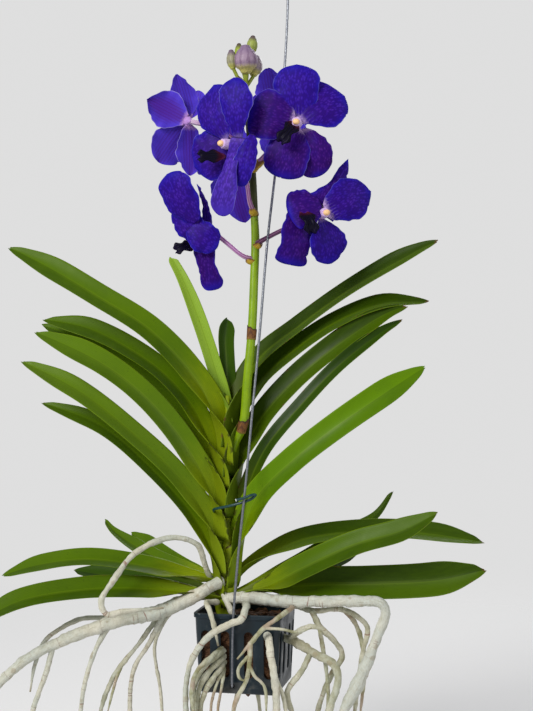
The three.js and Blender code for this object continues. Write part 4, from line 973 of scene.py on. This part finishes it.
# ---------------------------------------------------------------- the leaves
LEAF_US = [0.94 * k / 42 for k in range(42)] + [0.94 + 0.06 * math.sin(math.pi / 2 * k / 10) for k in range(11)]
HALF_VS = [0.03, 0.09, 0.18, 0.3, 0.44, 0.58, 0.72, 0.84, 0.94, 1.0]
LEAF_VS = [-v for v in reversed(HALF_VS)] + [0.0] + HALF_VS


def keel_rise(v):
    """A folded blade, rounded only a little at its crease."""
    return (math.sqrt(v * v + 0.003) - math.sqrt(0.003)) / (math.sqrt(1.003) - math.sqrt(0.003))


def leaf_thickness(u, v):
    end = min(1.0, (1 - u) * 30, (u + 0.01) * 40)
    half = LEAF_THICKNESS / 2 * math.sqrt(max(0.0, 1 - v**4)) * end
    return 0.85 * half, half + 0.5 * math.exp(-(v / 0.1) ** 2) * end


def build_leaf(name, width, roll, route, base=None, taper=0.78, tip=0.26, kind="leaf", shade=None):
    """Folded round the stem at its base, open with a shallow keel further out, its tip in two unequal lobes."""
    luck, route = random.Random("leaf_" + name), Route(route)
    side = 1 if "right" in name.split("_") else -1
    base = base or (0.5 if "low" in name else 1.45)
    usual_shade = luck.uniform(0.1, 0.4)
    phases = [luck.uniform(0, 6.28) for _ in range(2)]
    shorter = luck.choice((-1, 1)) * luck.uniform(1.2, 3.2)
    cleft = luck.uniform(-0.2, 0.2)
    grid = []
    for u in LEAF_US:
        centre, along = route.at(u), route.way(u)
        upward = Vector((-side * along.z, 0, side * along.x)).normalized()
        unfolding = smoothstep(u, 0.04, SHEATH_END)
        turn = math.radians(lerp(SHEATH_ROLL, roll, unfolding))
        opening = math.radians(lerp(SHEATH_OPENING, LEAF_OPENING, unfolding))
        across = upward * math.cos(turn) + BACK * math.sin(turn)
        across = (across - along * across.dot(along)).normalized()
        lift = (along.cross(across) * side).normalized()
        narrowing = 1 - (1 - tip) * smoothstep(u, taper, 1.02) ** 1.6
        rounding = math.sqrt(max(0.12, 1 - max(0.0, (u - 0.955) / 0.045) ** 2.2))
        half = width / 2 * narrowing * lerp(base, 1, unfolding) * rounding
        bite = smoothstep(u, 0.95, 1)
        row = []
        for v in LEAF_VS:
            ripple = 0.6 * abs(v) ** 3 * unfolding * math.sin(9 * u + phases[v > 0])
            arch = 0.06 * half * math.sin(math.pi * abs(v)) * unfolding
            rise = keel_rise(v) * half * math.cos(opening) + ripple - arch
            back = LEAF_NOTCH * math.exp(-((v - cleft) / 0.35) ** 2) + max(0.0, shorter * v)
            row.append(centre + across * v * half * math.sin(opening) + lift * rise - along * bite * back)
        grid.append(row)
    skin = Skin()
    skin.blade(grid, LEAF_US, LEAF_VS, leaf_thickness, usual_shade if shade is None else shade, side)
    piece(f"leaf_{name}_blade", skin, LEAF_FINISHES[kind], kind, "leaf_" + name)


for leaf in LEAVES:
    build_leaf(**leaf)


# ---------------------------------------------------------------- the roots
@node_tree("GeometryNodeTree", {"Lines": "Geometry", "Sides": 16, "Swell": 0.0, "Swell size": 0.012,
                                "Knuckle": 0.0, "Seed": 0.0, "Finish": "Material"}, "Skin")
def swept_skin(s, lines, sides, swell, swell_size, knuckle, seed, coat):
    """Sweeps a round skin along lines. A line's points say how thick it is, and noise swells it."""

    def named(name):
        return s.make("GeometryNodeInputNamedAttribute", {"Name": name}, data_type="FLOAT")

    def store(geometry, name, value, kind="FLOAT"):
        return s.make("GeometryNodeStoreNamedAttribute", {"Geometry": geometry, "Name": name, "Value": value},
                      data_type=kind, domain="POINT")

    share, reach = s.node("GeometryNodeSplineParameter")[:2]
    line = store(s.make("GeometryNodeMeshToCurve", {"Mesh": lines}), "along", share)
    line = store(line, "reach", reach)
    ring = store(s.make("GeometryNodeCurvePrimitiveCircle", {"Resolution": sides, "Radius": 1.0}), "around", share)
    skin = s.make("GeometryNodeCurveToMesh", {"Curve": line, "Profile Curve": ring, "Scale": named("girth"),
                                              "Fill Caps": True})
    turn, girth = named("around") * (2 * math.pi), named("girth") * 1000
    x, z = s.calc("COSINE", turn), s.calc("SINE", turn)
    skin = store(skin, "share", s.combine(x, named("along"), z), "FLOAT_VECTOR")
    skin = store(skin, "flat", s.combine(x * girth, named("reach") * 1000, z * girth), "FLOAT_VECTOR")
    place = s.vector("ADD", s.make("GeometryNodeInputPosition"), s.combine(seed, seed, seed))
    fade = s.band(named("along"), 1.0, 0.92)
    lumps = []
    for amount, finer, sharp in ((swell, 1.0, False), (swell, 0.33, False), (knuckle, 0.75, True)):
        waves = s.make("ShaderNodeTexNoise", {"Vector": place, "Detail": 0.0, "Scale": (1 / finer) / swell_size})
        lump = s.band(waves, 0.6, 0.75) if sharp else waves - 0.5
        lumps.append(lump * amount * fade * named("girth"))
    push = s.make("ShaderNodeVectorMath", {0: s.make("GeometryNodeInputNormal"),
                                           "Scale": lumps[0] + lumps[1] + lumps[2]}, operation="SCALE")
    return [s.dressed(s.make("GeometryNodeSetPosition", {"Geometry": skin, "Offset": push}), coat)]


def swept(name, runs, coat, slot, *stands_for, **sizes):
    """Makes one piece of its runs. Each run is (route, radius at a share of its length, tone, step, end dome)."""
    points, edges, girths, tones = [], [], [], []
    for route, radius, tone, step, dome in runs:
        count = max(3, round(route.length / step))
        knots = [(route.at(k / count), radius(k / count)) for k in range(count + 1)]
        first, last, size, end = route.way(0), route.way(1), radius(0), radius(1)
        domed = [(turn, dome * size * math.sin(turn)) for turn in (0.4, 0.8, 1.2, 1.45)] if dome else []
        knots = [(knots[0][0] - first * shift, size * math.cos(turn)) for turn, shift in reversed(domed)] + knots
        knots += [(knots[-1][0] + last * 0.3 * end * math.sin(turn), end * math.cos(turn)) for turn, _ in domed]
        edges += [(len(points) + k, len(points) + k + 1) for k in range(len(knots) - 1)]
        points += [(place + PLACE_SHIFT) / 1000 for place, _ in knots]
        girths += [girth / 1000 for _, girth in knots]
        tones += [tone] * len(knots)
    lines = shaped(name, points, edges, [], {"girth": girths, "tone": tones})
    settle(grown(lines, swept_skin, Finish=coat, Sides=16, **sizes), slot, *stands_for)


def build_root(name, runs, green=0.1):
    luck, made = random.Random("root_" + name), []
    for radii, route in runs:
        thin = 0.3 if radii[0] < THIN_ROOT else 0.0
        tone = clamp(green + thin + luck.uniform(-0.08, 0.08))
        tapered = [*radii, radii[-1], 0.4 * radii[-1]]
        made.append((Route(route), lambda u, tapered=tapered: profile(tapered, u), tone, 1.6, 0.7))
    swell = 0.32 if max(runs[0][0]) > THICK_ROOT else 0.42
    swept(f"root_{name}_skin", made, root_skin, "root", "root_" + name, Swell=swell, Swell_size=0.011,
          Knuckle=0.18, Seed=luck.uniform(0, 5))


for root in ROOTS:
    build_root(**root)

# ---------------------------------------------------------------- the blooms
TEPAL_US = [0.06 + 0.64 * k / 20 for k in range(20)]
TEPAL_US += [0.7 + 0.3 * math.sin(math.pi / 2 * k / 14) for k in range(15)]
TEPAL_VS = [math.sin(math.pi / 2 * k / 10) for k in range(-10, 11)]
TEPAL_BODIES = {  # half width from claw to tip before its end is rounded, and where and how roundly it ends
    "oval": ([0.12, 0.62, 0.90, 1.0, 0.98, 0.9], 0.50, 2.0, 0.62),
    "boxy": ([0.12, 0.60, 0.90, 0.98, 1.0, 1.0], 0.66, 2.6, 0.52),
    "slender": ([0.16, 0.36, 0.68, 0.92, 1.0, 0.96], 0.58, 2.3, 0.55),
    "strap": ([0.55, 0.72, 0.86, 0.80, 0.84, 0.92], 0.86, 3.0, 0.40),
    "spear": ([1.0, 1.0, 0.72, 0.46, 0.36, 0.26, 0.06], 0.96, 2.0, 0.60),
    "hourglass": ([0.66, 0.62, 0.50, 0.55, 0.72, 0.90, 1.0, 1.0], 0.80, 2.4, 0.50),
}


def tepal_half_width(u, shape):
    """A narrow claw, then a blade that is broadest past its middle."""
    if shape in TEPAL_BODIES:
        body, begin, power, roundness = TEPAL_BODIES[shape]
        return profile(body, u) * (1 - max(0.0, (u - begin) / (1 - begin)) ** power) ** roundness
    widening = 0.1 + 0.9 * math.sin(math.pi / 2 * clamp((u - 0.06) / 0.5)) ** 1.2
    ending = max(0.0, (u - 0.56) / 0.44)
    if shape == "full":
        widening = 0.42 + 0.58 * math.sin(math.pi / 2 * clamp((u - 0.02) / 0.5))
    if shape == "pointed":
        return (0.2 + 0.8 * widening) * (1 - ending**1.4) ** 0.85
    return widening * (1 - ending**2.4) ** 0.6


def tepal_thickness(u, v):
    end = min(1.0, (1 - u) * 18)
    half = TEPAL_THICKNESS / 2 * math.sqrt(max(0.0, 1 - v**4)) * end
    return half, half + 0.25 * math.exp(-(v / 0.09) ** 2) * (1 - u) * end


def tepal_grid(start, faces, luck, tip, width, shape, bow):
    """A softly ruffled blade, arched along its length and bent back at its sides."""
    reach = Vector(tip)
    length, along = reach.length, reach.normalized()
    across = along.cross(faces).normalized()
    front = across.cross(along).normalized()
    phases = [luck.uniform(0, 6.28) for _ in range(6)]
    nick, nick_side = luck.uniform(0.72, 0.9), luck.choice((-1, 1))
    grid = []
    for u in TEPAL_US:
        half = width / 2 * max(0.03, tepal_half_width(u, shape))
        line = []
        for v in TEPAL_VS:
            side, edge = int(v > 0), abs(v) ** 3
            wave = 0.015 * length * math.sin(5 * u + 2.5 * v) * abs(v)
            bulge = 0.1 * length * math.sin(math.pi * u) - 0.08 * width * v * v * u
            ruffle = edge * smoothstep(u, 0.15, 0.5) * (1.3 * math.sin(13 * u + phases[side])
                                                        + 0.55 * math.sin(29 * u + phases[2 + side]))
            lobes = 0.6 * edge * math.sin(15 * u + phases[4 + side]) * smoothstep(u, 0.3, 0.6)
            lobes += 0.25 * edge * math.sin(41 * u + phases[2 + side])
            bite = 1.4 * edge * math.exp(-((u - nick) / 0.025) ** 2) * (v * nick_side > 0)
            groove = -0.5 * math.exp(-(v / 0.07) ** 2) * math.sin(math.pi * min(u, 0.95))
            aside = math.copysign(abs(v) * half + lobes - bite, v) + bow * math.sin(math.pi * u)
            line.append(start + along * length * u + across * aside
                        + front * (bulge + wave + ruffle * min(1, half / 6) + groove))
        grid.append(line)
    return grid


def lip_thickness(u, v):
    half = LIP_THICKNESS / 2 * math.sqrt(max(0.0, 1 - v**4)) * min(1.0, (1 - u) * 12, (u + 0.02) * 20)
    return half, half


def build_lip(name, start, look, reach, size):
    """A cupped lip with three keels, a waist and a cleft tip."""
    across = reach.cross(look).normalized()
    us, vs = [k / 18 for k in range(19)], [k / 8 for k in range(-8, 9)]
    grid = []
    for u in us:
        half = size * profile(LIP_HALF_WIDTHS, u)
        line = []
        for v in vs:
            keels = 0.55 * math.cos(3 * math.pi * v) * smoothstep(u, 0.05, 0.3) * smoothstep(u, 1.0, 0.8)
            cup = 2 * abs(v) + 1.6 * abs(v) ** 2 * smoothstep(u, 0.45, 0.25)
            cleft = -2.4 * math.exp(-(v / 0.35) ** 2) * smoothstep(u, 0.8, 1)
            line.append(start + reach * 1.1 * u + across * v * half + reach.normalized() * cleft
                        + look * (5 * math.sin(math.pi * u) + cup + keels))
        grid.append(line)
    skin = Skin()
    skin.blade(grid, us, vs, lip_thickness, 0.5, -1)
    piece(name + "_labellum", skin, dark_lip, "lip", name + "_lip")


def build_bloom(name, centre, faces, lip, tepals, lip_start=(0, 0, 0), lip_faces=None, lip_size=1.0,
                column_end=COLUMN_END):
    """Five tepals, a lip, and a column that ends in its cap."""
    middle, look, reach = Vector(centre), Vector(faces).normalized(), Vector(lip)
    luck, skin = random.Random(name.replace("_", " ")), Skin()

    def add_tepal(tip, width, petal=False, shape="round", red=0.7, bow=0, claw=1.0, rim=0.25, start=(0, 0, 0),
                  faces=faces):
        foot = middle + look * (PETAL_LAYER if petal else -PETAL_LAYER) + Vector(start)
        skin.claw, skin.rim = claw, rim
        grid = tepal_grid(foot, Vector(faces).normalized(), luck, tip, width, shape, bow)
        skin.blade(grid, TEPAL_US, TEPAL_VS, tepal_thickness, red, -1)

    for tepal in tepals:
        add_tepal(**tepal)
    piece(name + "_petals", skin, velvet_tepal, "tepal", name + "_tepals")
    build_lip(name, middle + look * LIP_LAYER + Vector(lip_start), Vector(lip_faces or faces).normalized(), reach,
              lip_size)
    skin = Skin()
    skin.tube([middle + look * d for d in (COLUMN_FOOT, column_end)], ribbed(COLUMN_RADII, 5, 0.06), 20, 0.8, 0.0,
              caps=(0.7, 0.3))
    cap = middle + look * (column_end + 0.4) + reach.normalized() * 0.5
    skin.tube([cap - look * 1.6, cap + look * 1.2], lambda u, angle: CAP_RADIUS + 0.25 * math.cos(2 * angle),
              18, 0.6, 1.0, caps=(0.7, 0.8))
    piece(name + "_column", skin, column_and_cap, "tepal")


for number, bloom in enumerate(BLOOMS, 1):
    build_bloom(f"bloom_{number}", **bloom)

# ---------------------------------------------------------------- the flower spike, its stalks, bracts and buds
skin = Skin()
skin.tube(RACHIS_ROUTE, ribbed(RACHIS_RADII, 7, 0.025), 22, 2.5, by_knots=True)
piece("spike_axis", skin, green_spike, "spike", "flower_spike")

skin = Skin()
for number, (route, bloom) in enumerate(zip(STALKS, BLOOMS)):
    seat = Vector(bloom["centre"]) - Vector(bloom["faces"]).normalized() * STALK_SEAT
    skin.tube([*route, seat], ribbed(STALK_RADII, 6, 0.07, twist=5), 24, 1.2, 0.9 if number == DARK_STALK else 0.15)
piece("bloom_stalks", skin, striped_stalk, "spike")


def cupped_scale(skin, foot, reach, half, cup):
    """A small pointed scale, cupped upwards."""
    along = reach.normalized()
    across = along.cross(UP).normalized()
    lift = across.cross(along).normalized()
    us, vs = [k / 12 for k in range(13)], [k / 5 for k in range(-5, 6)]
    grid = []
    for u in us:
        wide = half * (1 - u**2.2) ** 0.6 * (0.75 + 0.25 * smoothstep(u, 0, 0.4)) + 0.15
        grid.append([foot + reach * u + across * v * wide
                     + lift * (cup * v * v - 1.6 * math.sin(math.pi * u) * (1 - v * v)) for v in vs])
    skin.blade(grid, us, vs, lambda u, v: (SCALE_THICKNESS / 2,) * 2, 0.0)


skin = Skin()
for route in STALKS:
    start = Vector(route[0])
    outward = (Vector(route[1]) - start).normalized()
    foot = start + outward + UP * -4
    cupped_scale(skin, foot, (foot + outward * BRACT_LENGTH) - foot, 4.8, 2.8)
skin.tube(KNOB_ROUTE, ribbed(KNOB_RADII, 5, 0.05), 20, 0.8, 0.0)
spike_line = Route(RACHIS_ROUTE)
for share, height, side, radius in ((0.118, 12.5, -1, 4.25), (0.352, 11, 1, 4.25), (0.655, 0.9, -1, 3.9)):
    middle, way = spike_line.at(share), spike_line.way(share)
    skin.tube([middle - way * height / 2, middle + way * height / 2],
              lambda u, angle: radius + 0.25 * u, 24, 1.5, 1.0, caps=(0.05, 0.05),
              slant=lambda u, angle: u * (1.8 * math.cos(angle - side) + 0.5 * math.sin(5 * angle)))
piece("spike_bracts", skin, dry_bract, "spike")


def add_bud(skin, bud, tone):
    foot, tip = Vector(bud["foot"]), Vector(bud["tip"])
    foot, tip = foot.lerp(tip, 0.10), foot.lerp(tip, 0.93)

    def radius(u, angle):
        seam = 0.05 * abs(math.cos(1.5 * angle)) ** 10
        return bud["radius"] * profile(BUD_PROFILE, u) * (1 - seam + 0.015 * math.cos(15 * angle))

    skin.tube([foot, tip], radius, 36, (tip - foot).length / 16, tone, caps=(0.6, 0.5))


skin = Skin()
add_bud(skin, LARGE_BUD, 1.0)
piece("bud_large_skin", skin, veined_bud, "bud", "bud_large")
skin, stalks = Skin(), Skin()
for bud, tone in zip(SMALL_BUDS, (0.85, 0.55, 0.15, 0.0, 0.0)):
    add_bud(skin, bud, tone)
    stalks.tube(bud["stalk"], lambda u, angle: 1.6 * (1 + 0.06 * math.cos(6 * angle)), 16, 1.5)
piece("bud_small_skins", skin, veined_bud, "bud")
stalks.tube([(5, 0, 462), (6, -3, 474)], lambda u, angle: 2.2 + 0.2 * math.cos(5 * angle), 16, 1.5)
piece("bud_stalks", stalks, green_spike, "spike")

# ---------------------------------------------------------------- the stem
STEM_LINE = Route(STEM_ROUTE)


def stem_ring(u, share, sideways=0, swell=0.0, along=0.3):
    """A ring round the stem, leaning to the side that it is moved to."""
    centre = STEM_LINE.at(u)
    half = profile(STEM_HALF_WIDTHS, u) * share + swell
    ring = []
    for i in range(STEM_SIDES):
        angle = 2 * math.pi * i / STEM_SIDES
        x, y = math.cos(angle), math.sin(angle)
        z = centre.z + 0.55 * half * x * (math.copysign(1, sideways) if sideways else 0)
        point = Vector((centre.x + sideways + half * x, centre.y + half * STEM_DEPTH_SHARE * y, z))
        ring.append((point, (x, along, y), (half * x, z, half * y)))
    return ring


skin = Skin()
skin.join_rings([stem_ring(k / 16, 0.7) for k in range(17)], 0.5)
for k in range(SHEATHS):
    low, side = k / SHEATHS * SHEATHED_SHARE, 1 if k % 2 else -1
    skin.join_rings([stem_ring(low + 0.12 * u, lerp(0.84, 1, u), lerp(0.3, SHEATH_LEAN, u) * side,
                               0.35 * math.sin(math.pi * u), u) for u in (step / 8 for step in range(9))], 0.5)
piece("stem_sheaths", skin, old_sheath, "stem", "stem")


# ---------------------------------------------------------------- the pot, its bark, the wire and the tie
def pot_place(x, y, z):
    turn = math.radians(POT_TURN)
    return Vector((POT_X + x * math.cos(turn) - y * math.sin(turn), x * math.sin(turn) + y * math.cos(turn), z))


def rounded_square(half, corner, z, steps=7):
    """A square ring with round corners, in the pot's own square."""
    inner, ring = half - corner, []
    for quarter, (sx, sy) in enumerate(((1, 1), (-1, 1), (-1, -1), (1, -1))):
        for k in range(steps):
            angle = math.pi / 2 * (quarter + k / (steps - 1))
            ring.append(pot_place(sx * inner + corner * math.cos(angle), sy * inner + corner * math.sin(angle), z))
    return ring


def pot_half(z):
    return lerp(POT_HALF_FOOT, POT_HALF_TOP, (z - POT_FOOT) / (POT_RIM - POT_FOOT))


def slot_cutter():
    """Every slot in the pot's four sides, as one skin."""
    skin, half = Skin(), SLOT_WIDTH / 2
    shape = [(math.cos(math.pi * k / 10) * half, SLOT_TOP - half + math.sin(math.pi * k / 10) * half)
             for k in range(11)]
    shape += [(-x, SLOT_FOOT + SLOT_TOP - z) for x, z in shape]
    for place in SLOT_PLACES:
        for turned in (False, True):
            for side in (-1, 1):
                deep = (side * (POT_HALF_FOOT - 8), side * (POT_HALF_TOP + 5))
                inward = (side < 0) != turned
                skin.join_plain_rings([
                    [pot_place(*((depth, place + x, z) if turned else (place + x, depth, z))) for x, z in shape]
                    for depth in (deep if inward else deep[::-1])])
    return skin


def build_pot():
    lip_low, top, wall, corner = POT_RIM - RIM_HEIGHT, POT_HALF_TOP, POT_WALL, POT_CORNER
    shell, hole = Skin(), Skin()
    shell.join_plain_rings([rounded_square(*row) for row in (
        (POT_HALF_FOOT - 1.2, corner - 1.2, POT_FOOT), (POT_HALF_FOOT, corner, POT_FOOT + 1.2),
        (pot_half(lip_low), corner, lip_low - 0.6), (top + RIM_LEDGE, corner + RIM_LEDGE, lip_low),
        (top + RIM_LEDGE, corner + RIM_LEDGE, POT_RIM - 0.5), (top + RIM_LEDGE - 0.5, corner, POT_RIM),
        (top - wall + 0.4, corner - wall, POT_RIM), (top - wall, corner - wall, POT_RIM - 0.5),
        (pot_half(POT_FLOOR) - wall, corner - wall, POT_FLOOR + 1),
        (pot_half(POT_FLOOR) - wall - 1, corner - wall - 1, POT_FLOOR))])
    hole.tube([(HOLE_X, -top - 5, HOLE_Z), (HOLE_X, -25, HOLE_Z)], lambda u, angle: HOLE_RADIUS, 20, 8, caps=(0, 0))
    body = shaped("pot_shell", shell.points, [], shell.faces, {})
    for name, skin in (("slots", slot_cutter()), ("hole", hole)):
        tool = shaped(name, skin.points, [], skin.faces, {})
        cut = body.modifiers.new(name, "BOOLEAN")
        cut.operation, cut.object, cut.solver = "DIFFERENCE", tool, "EXACT"
    edges = body.modifiers.new("soft edges", "BEVEL")
    edges.width, edges.segments, edges.limit_method = POT_SOFTNESS / 1000, 2, "ANGLE"
    edges.angle_limit = math.radians(40)
    made = baked(body)
    for name in ("slots", "hole"):
        bpy.data.objects.remove(bpy.data.objects[name])
    made.data.materials.clear()
    made.data.materials.append(pot_plastic)
    made.data.set_sharp_from_angle(angle=math.radians(35))
    settle(made, "pot", "pot")


@node_tree("GeometryNodeTree", {"Bed": "Geometry", "Spacing": 0.004, "Chip size": 0.0042, "Thickness": 0.3,
                                "Seed": 7, "Finish": "Material"}, "Chips")
def bark_chips(s, bed, spacing, chip_size, thickness, seed, coat):
    """Scatters bark chips over a bed: points on its faces, a bent flake on each, with its own shade."""
    points, _, rotation = s.node("GeometryNodeDistributePointsOnFaces", {
        "Mesh": bed, "Distance Min": spacing, "Density Max": 90000.0, "Seed": seed}, distribute_method="POISSON")
    flake = s.make("GeometryNodeMeshIcoSphere", {"Radius": chip_size, "Subdivisions": 2})
    rough = s.node("ShaderNodeTexNoise", {"Scale": 300.0, "Detail": 1.0}, noise_dimensions="3D")[1]
    push = s.stretch(s.vector("SUBTRACT", rough, (0.5, 0.5, 0.5)), 0.005, 0.005, 0.005)
    flake = s.make("GeometryNodeSetPosition", {"Geometry": flake, "Offset": push})
    flake = s.make("GeometryNodeTransform", {"Geometry": flake, "Scale": s.combine(1.0, 0.7, thickness)})
    spin = s.make("FunctionNodeRandomValue", {"Min": (-0.4, -0.4, 0.0), "Max": (0.4, 0.4, 6.28), "Seed": seed},
                  data_type="FLOAT_VECTOR")
    turned = s.make("FunctionNodeRotateRotation", {0: rotation, 1: spin}, rotation_space="LOCAL")
    size = s.node("FunctionNodeRandomValue", {"Seed": seed, 2: 0.6, 3: 1.25}, data_type="FLOAT")[1]
    chips = s.make("GeometryNodeInstanceOnPoints", {"Points": points, "Instance": flake, "Rotation": turned,
                                                    "Scale": size})
    shade = s.node("FunctionNodeRandomValue", {"Seed": 3}, data_type="FLOAT")[1]
    return [s.dressed(s.make("GeometryNodeStoreNamedAttribute", {"Geometry": chips, "Name": "tone", "Value": shade},
                             data_type="FLOAT", domain="INSTANCE"), coat)]


def build_bark():
    rings = []
    for k in range(13):
        z = lerp(POT_FLOOR + 0.8, BARK_TOP - 1.5, k / 12)
        rings.append(rounded_square(pot_half(z) - POT_WALL - 3.2, 4.5, z))
    for share in (0.75, 0.5, 0.25):
        rings.append(rounded_square((pot_half(BARK_TOP) - 6) * share, 4.5 * share, BARK_TOP - 1))
    bed = Skin()
    bed.join_plain_rings(rings)
    chips = grown(shaped("bark_chips", bed.points, [], bed.faces, {}), bark_chips, Spacing=0.0046,
                  Chip_size=0.0046, Thickness=0.3, Seed=7, Finish=bark_pieces)
    chips.data.set_sharp_from_angle(angle=math.radians(32))
    settle(chips, "bark")
    piece("bark_bed", bed, bark_pieces, "bark", "growing_medium")


def build_wire():
    arc = [(HOOK_X + HOOK_RADIUS * math.cos(turn), 0, HOOK_Z + HOOK_RADIUS * math.sin(turn))
           for turn in map(math.radians, (0, 30, 60, 90, 120, 150, 180, 205))]
    run = [(HOLE_X, -28, HOLE_Z), (HOLE_X, -36, HOLE_Z), (HOLE_X, -39.4, HOLE_Z + 3), (HOLE_X, -40, HOLE_Z + 9),
           *WIRE_ROUTE, (HOOK_X + HOOK_RADIUS, 0, HOOK_Z - 16), *arc]
    swept("hanger_wire_round", [(Route(run), lambda u: WIRE_RADIUS, 0.5, 1.6, 0)], zinc_wire, "steel",
          "hanger_wire", "wire_hook")
    swept("tie_wire", [(Route(TIE_ROUTE), lambda u: TIE_RADIUS, 0.5, 0.6, 0)], coated_tie, "clip_wire", "clip")


build_pot()
build_bark()
build_wire()


# ---------------------------------------------------------------- floor, light and camera
def area_light(name, place, aim, size, watts, colour):
    data = bpy.data.lights.new(name, "AREA")
    data.shape, data.size, data.energy, data.color = "DISK", size, watts, colour
    lamp = placed(name, data)
    lamp.location = place
    lamp.rotation_euler = (Vector(aim) - Vector(place)).to_track_quat("-Z", "Y").to_euler()


def build_stage():
    size, level = 1.6, CAD_BOX[0][2] - 0.03
    corners = [(x * size, y * size, level) for x, y in ((-1, -1), (1, -1), (1, 1), (-1, 1))]
    floor = shaped("studio_floor", corners, [], [(0, 1, 2, 3)], {})
    floor.data.materials.append(pale_floor)
    world = bpy.data.worlds.new("pale_room")
    world.use_nodes = True
    s = Sketch(world.node_tree)
    seen = s.make("ShaderNodeLightPath")
    backdrop = s.mix(seen, (0.42, 0.42, 0.43), (0.735, 0.735, 0.735))
    s.tree.links.new(backdrop.socket, s.tree.nodes["Background"].inputs["Color"])
    bpy.context.scene.world = world
    area_light("key_soft", (-1.2, -1.5, 0.75), (0, 0, -0.35), 1.0, 42, (1.0, 0.99, 0.96))
    area_light("fill_soft", (1.6, -0.9, 0.2), (0, 0, -0.4), 1.2, 7, (0.97, 0.98, 1.0))
    area_light("rim_soft", (0.6, 1.7, 0.6), (0, 0, -0.4), 1.2, 14, (1.0, 1.0, 1.0))
    camera = placed("camera", bpy.data.cameras.new("camera"))
    camera.data.lens = 67.5
    camera.location = (0, -1.200, -0.383)
    camera.rotation_euler = (math.pi / 2, 0, 0)
    bpy.context.scene.camera = camera
    bpy.context.scene.view_settings.view_transform = "Standard"


build_stage()
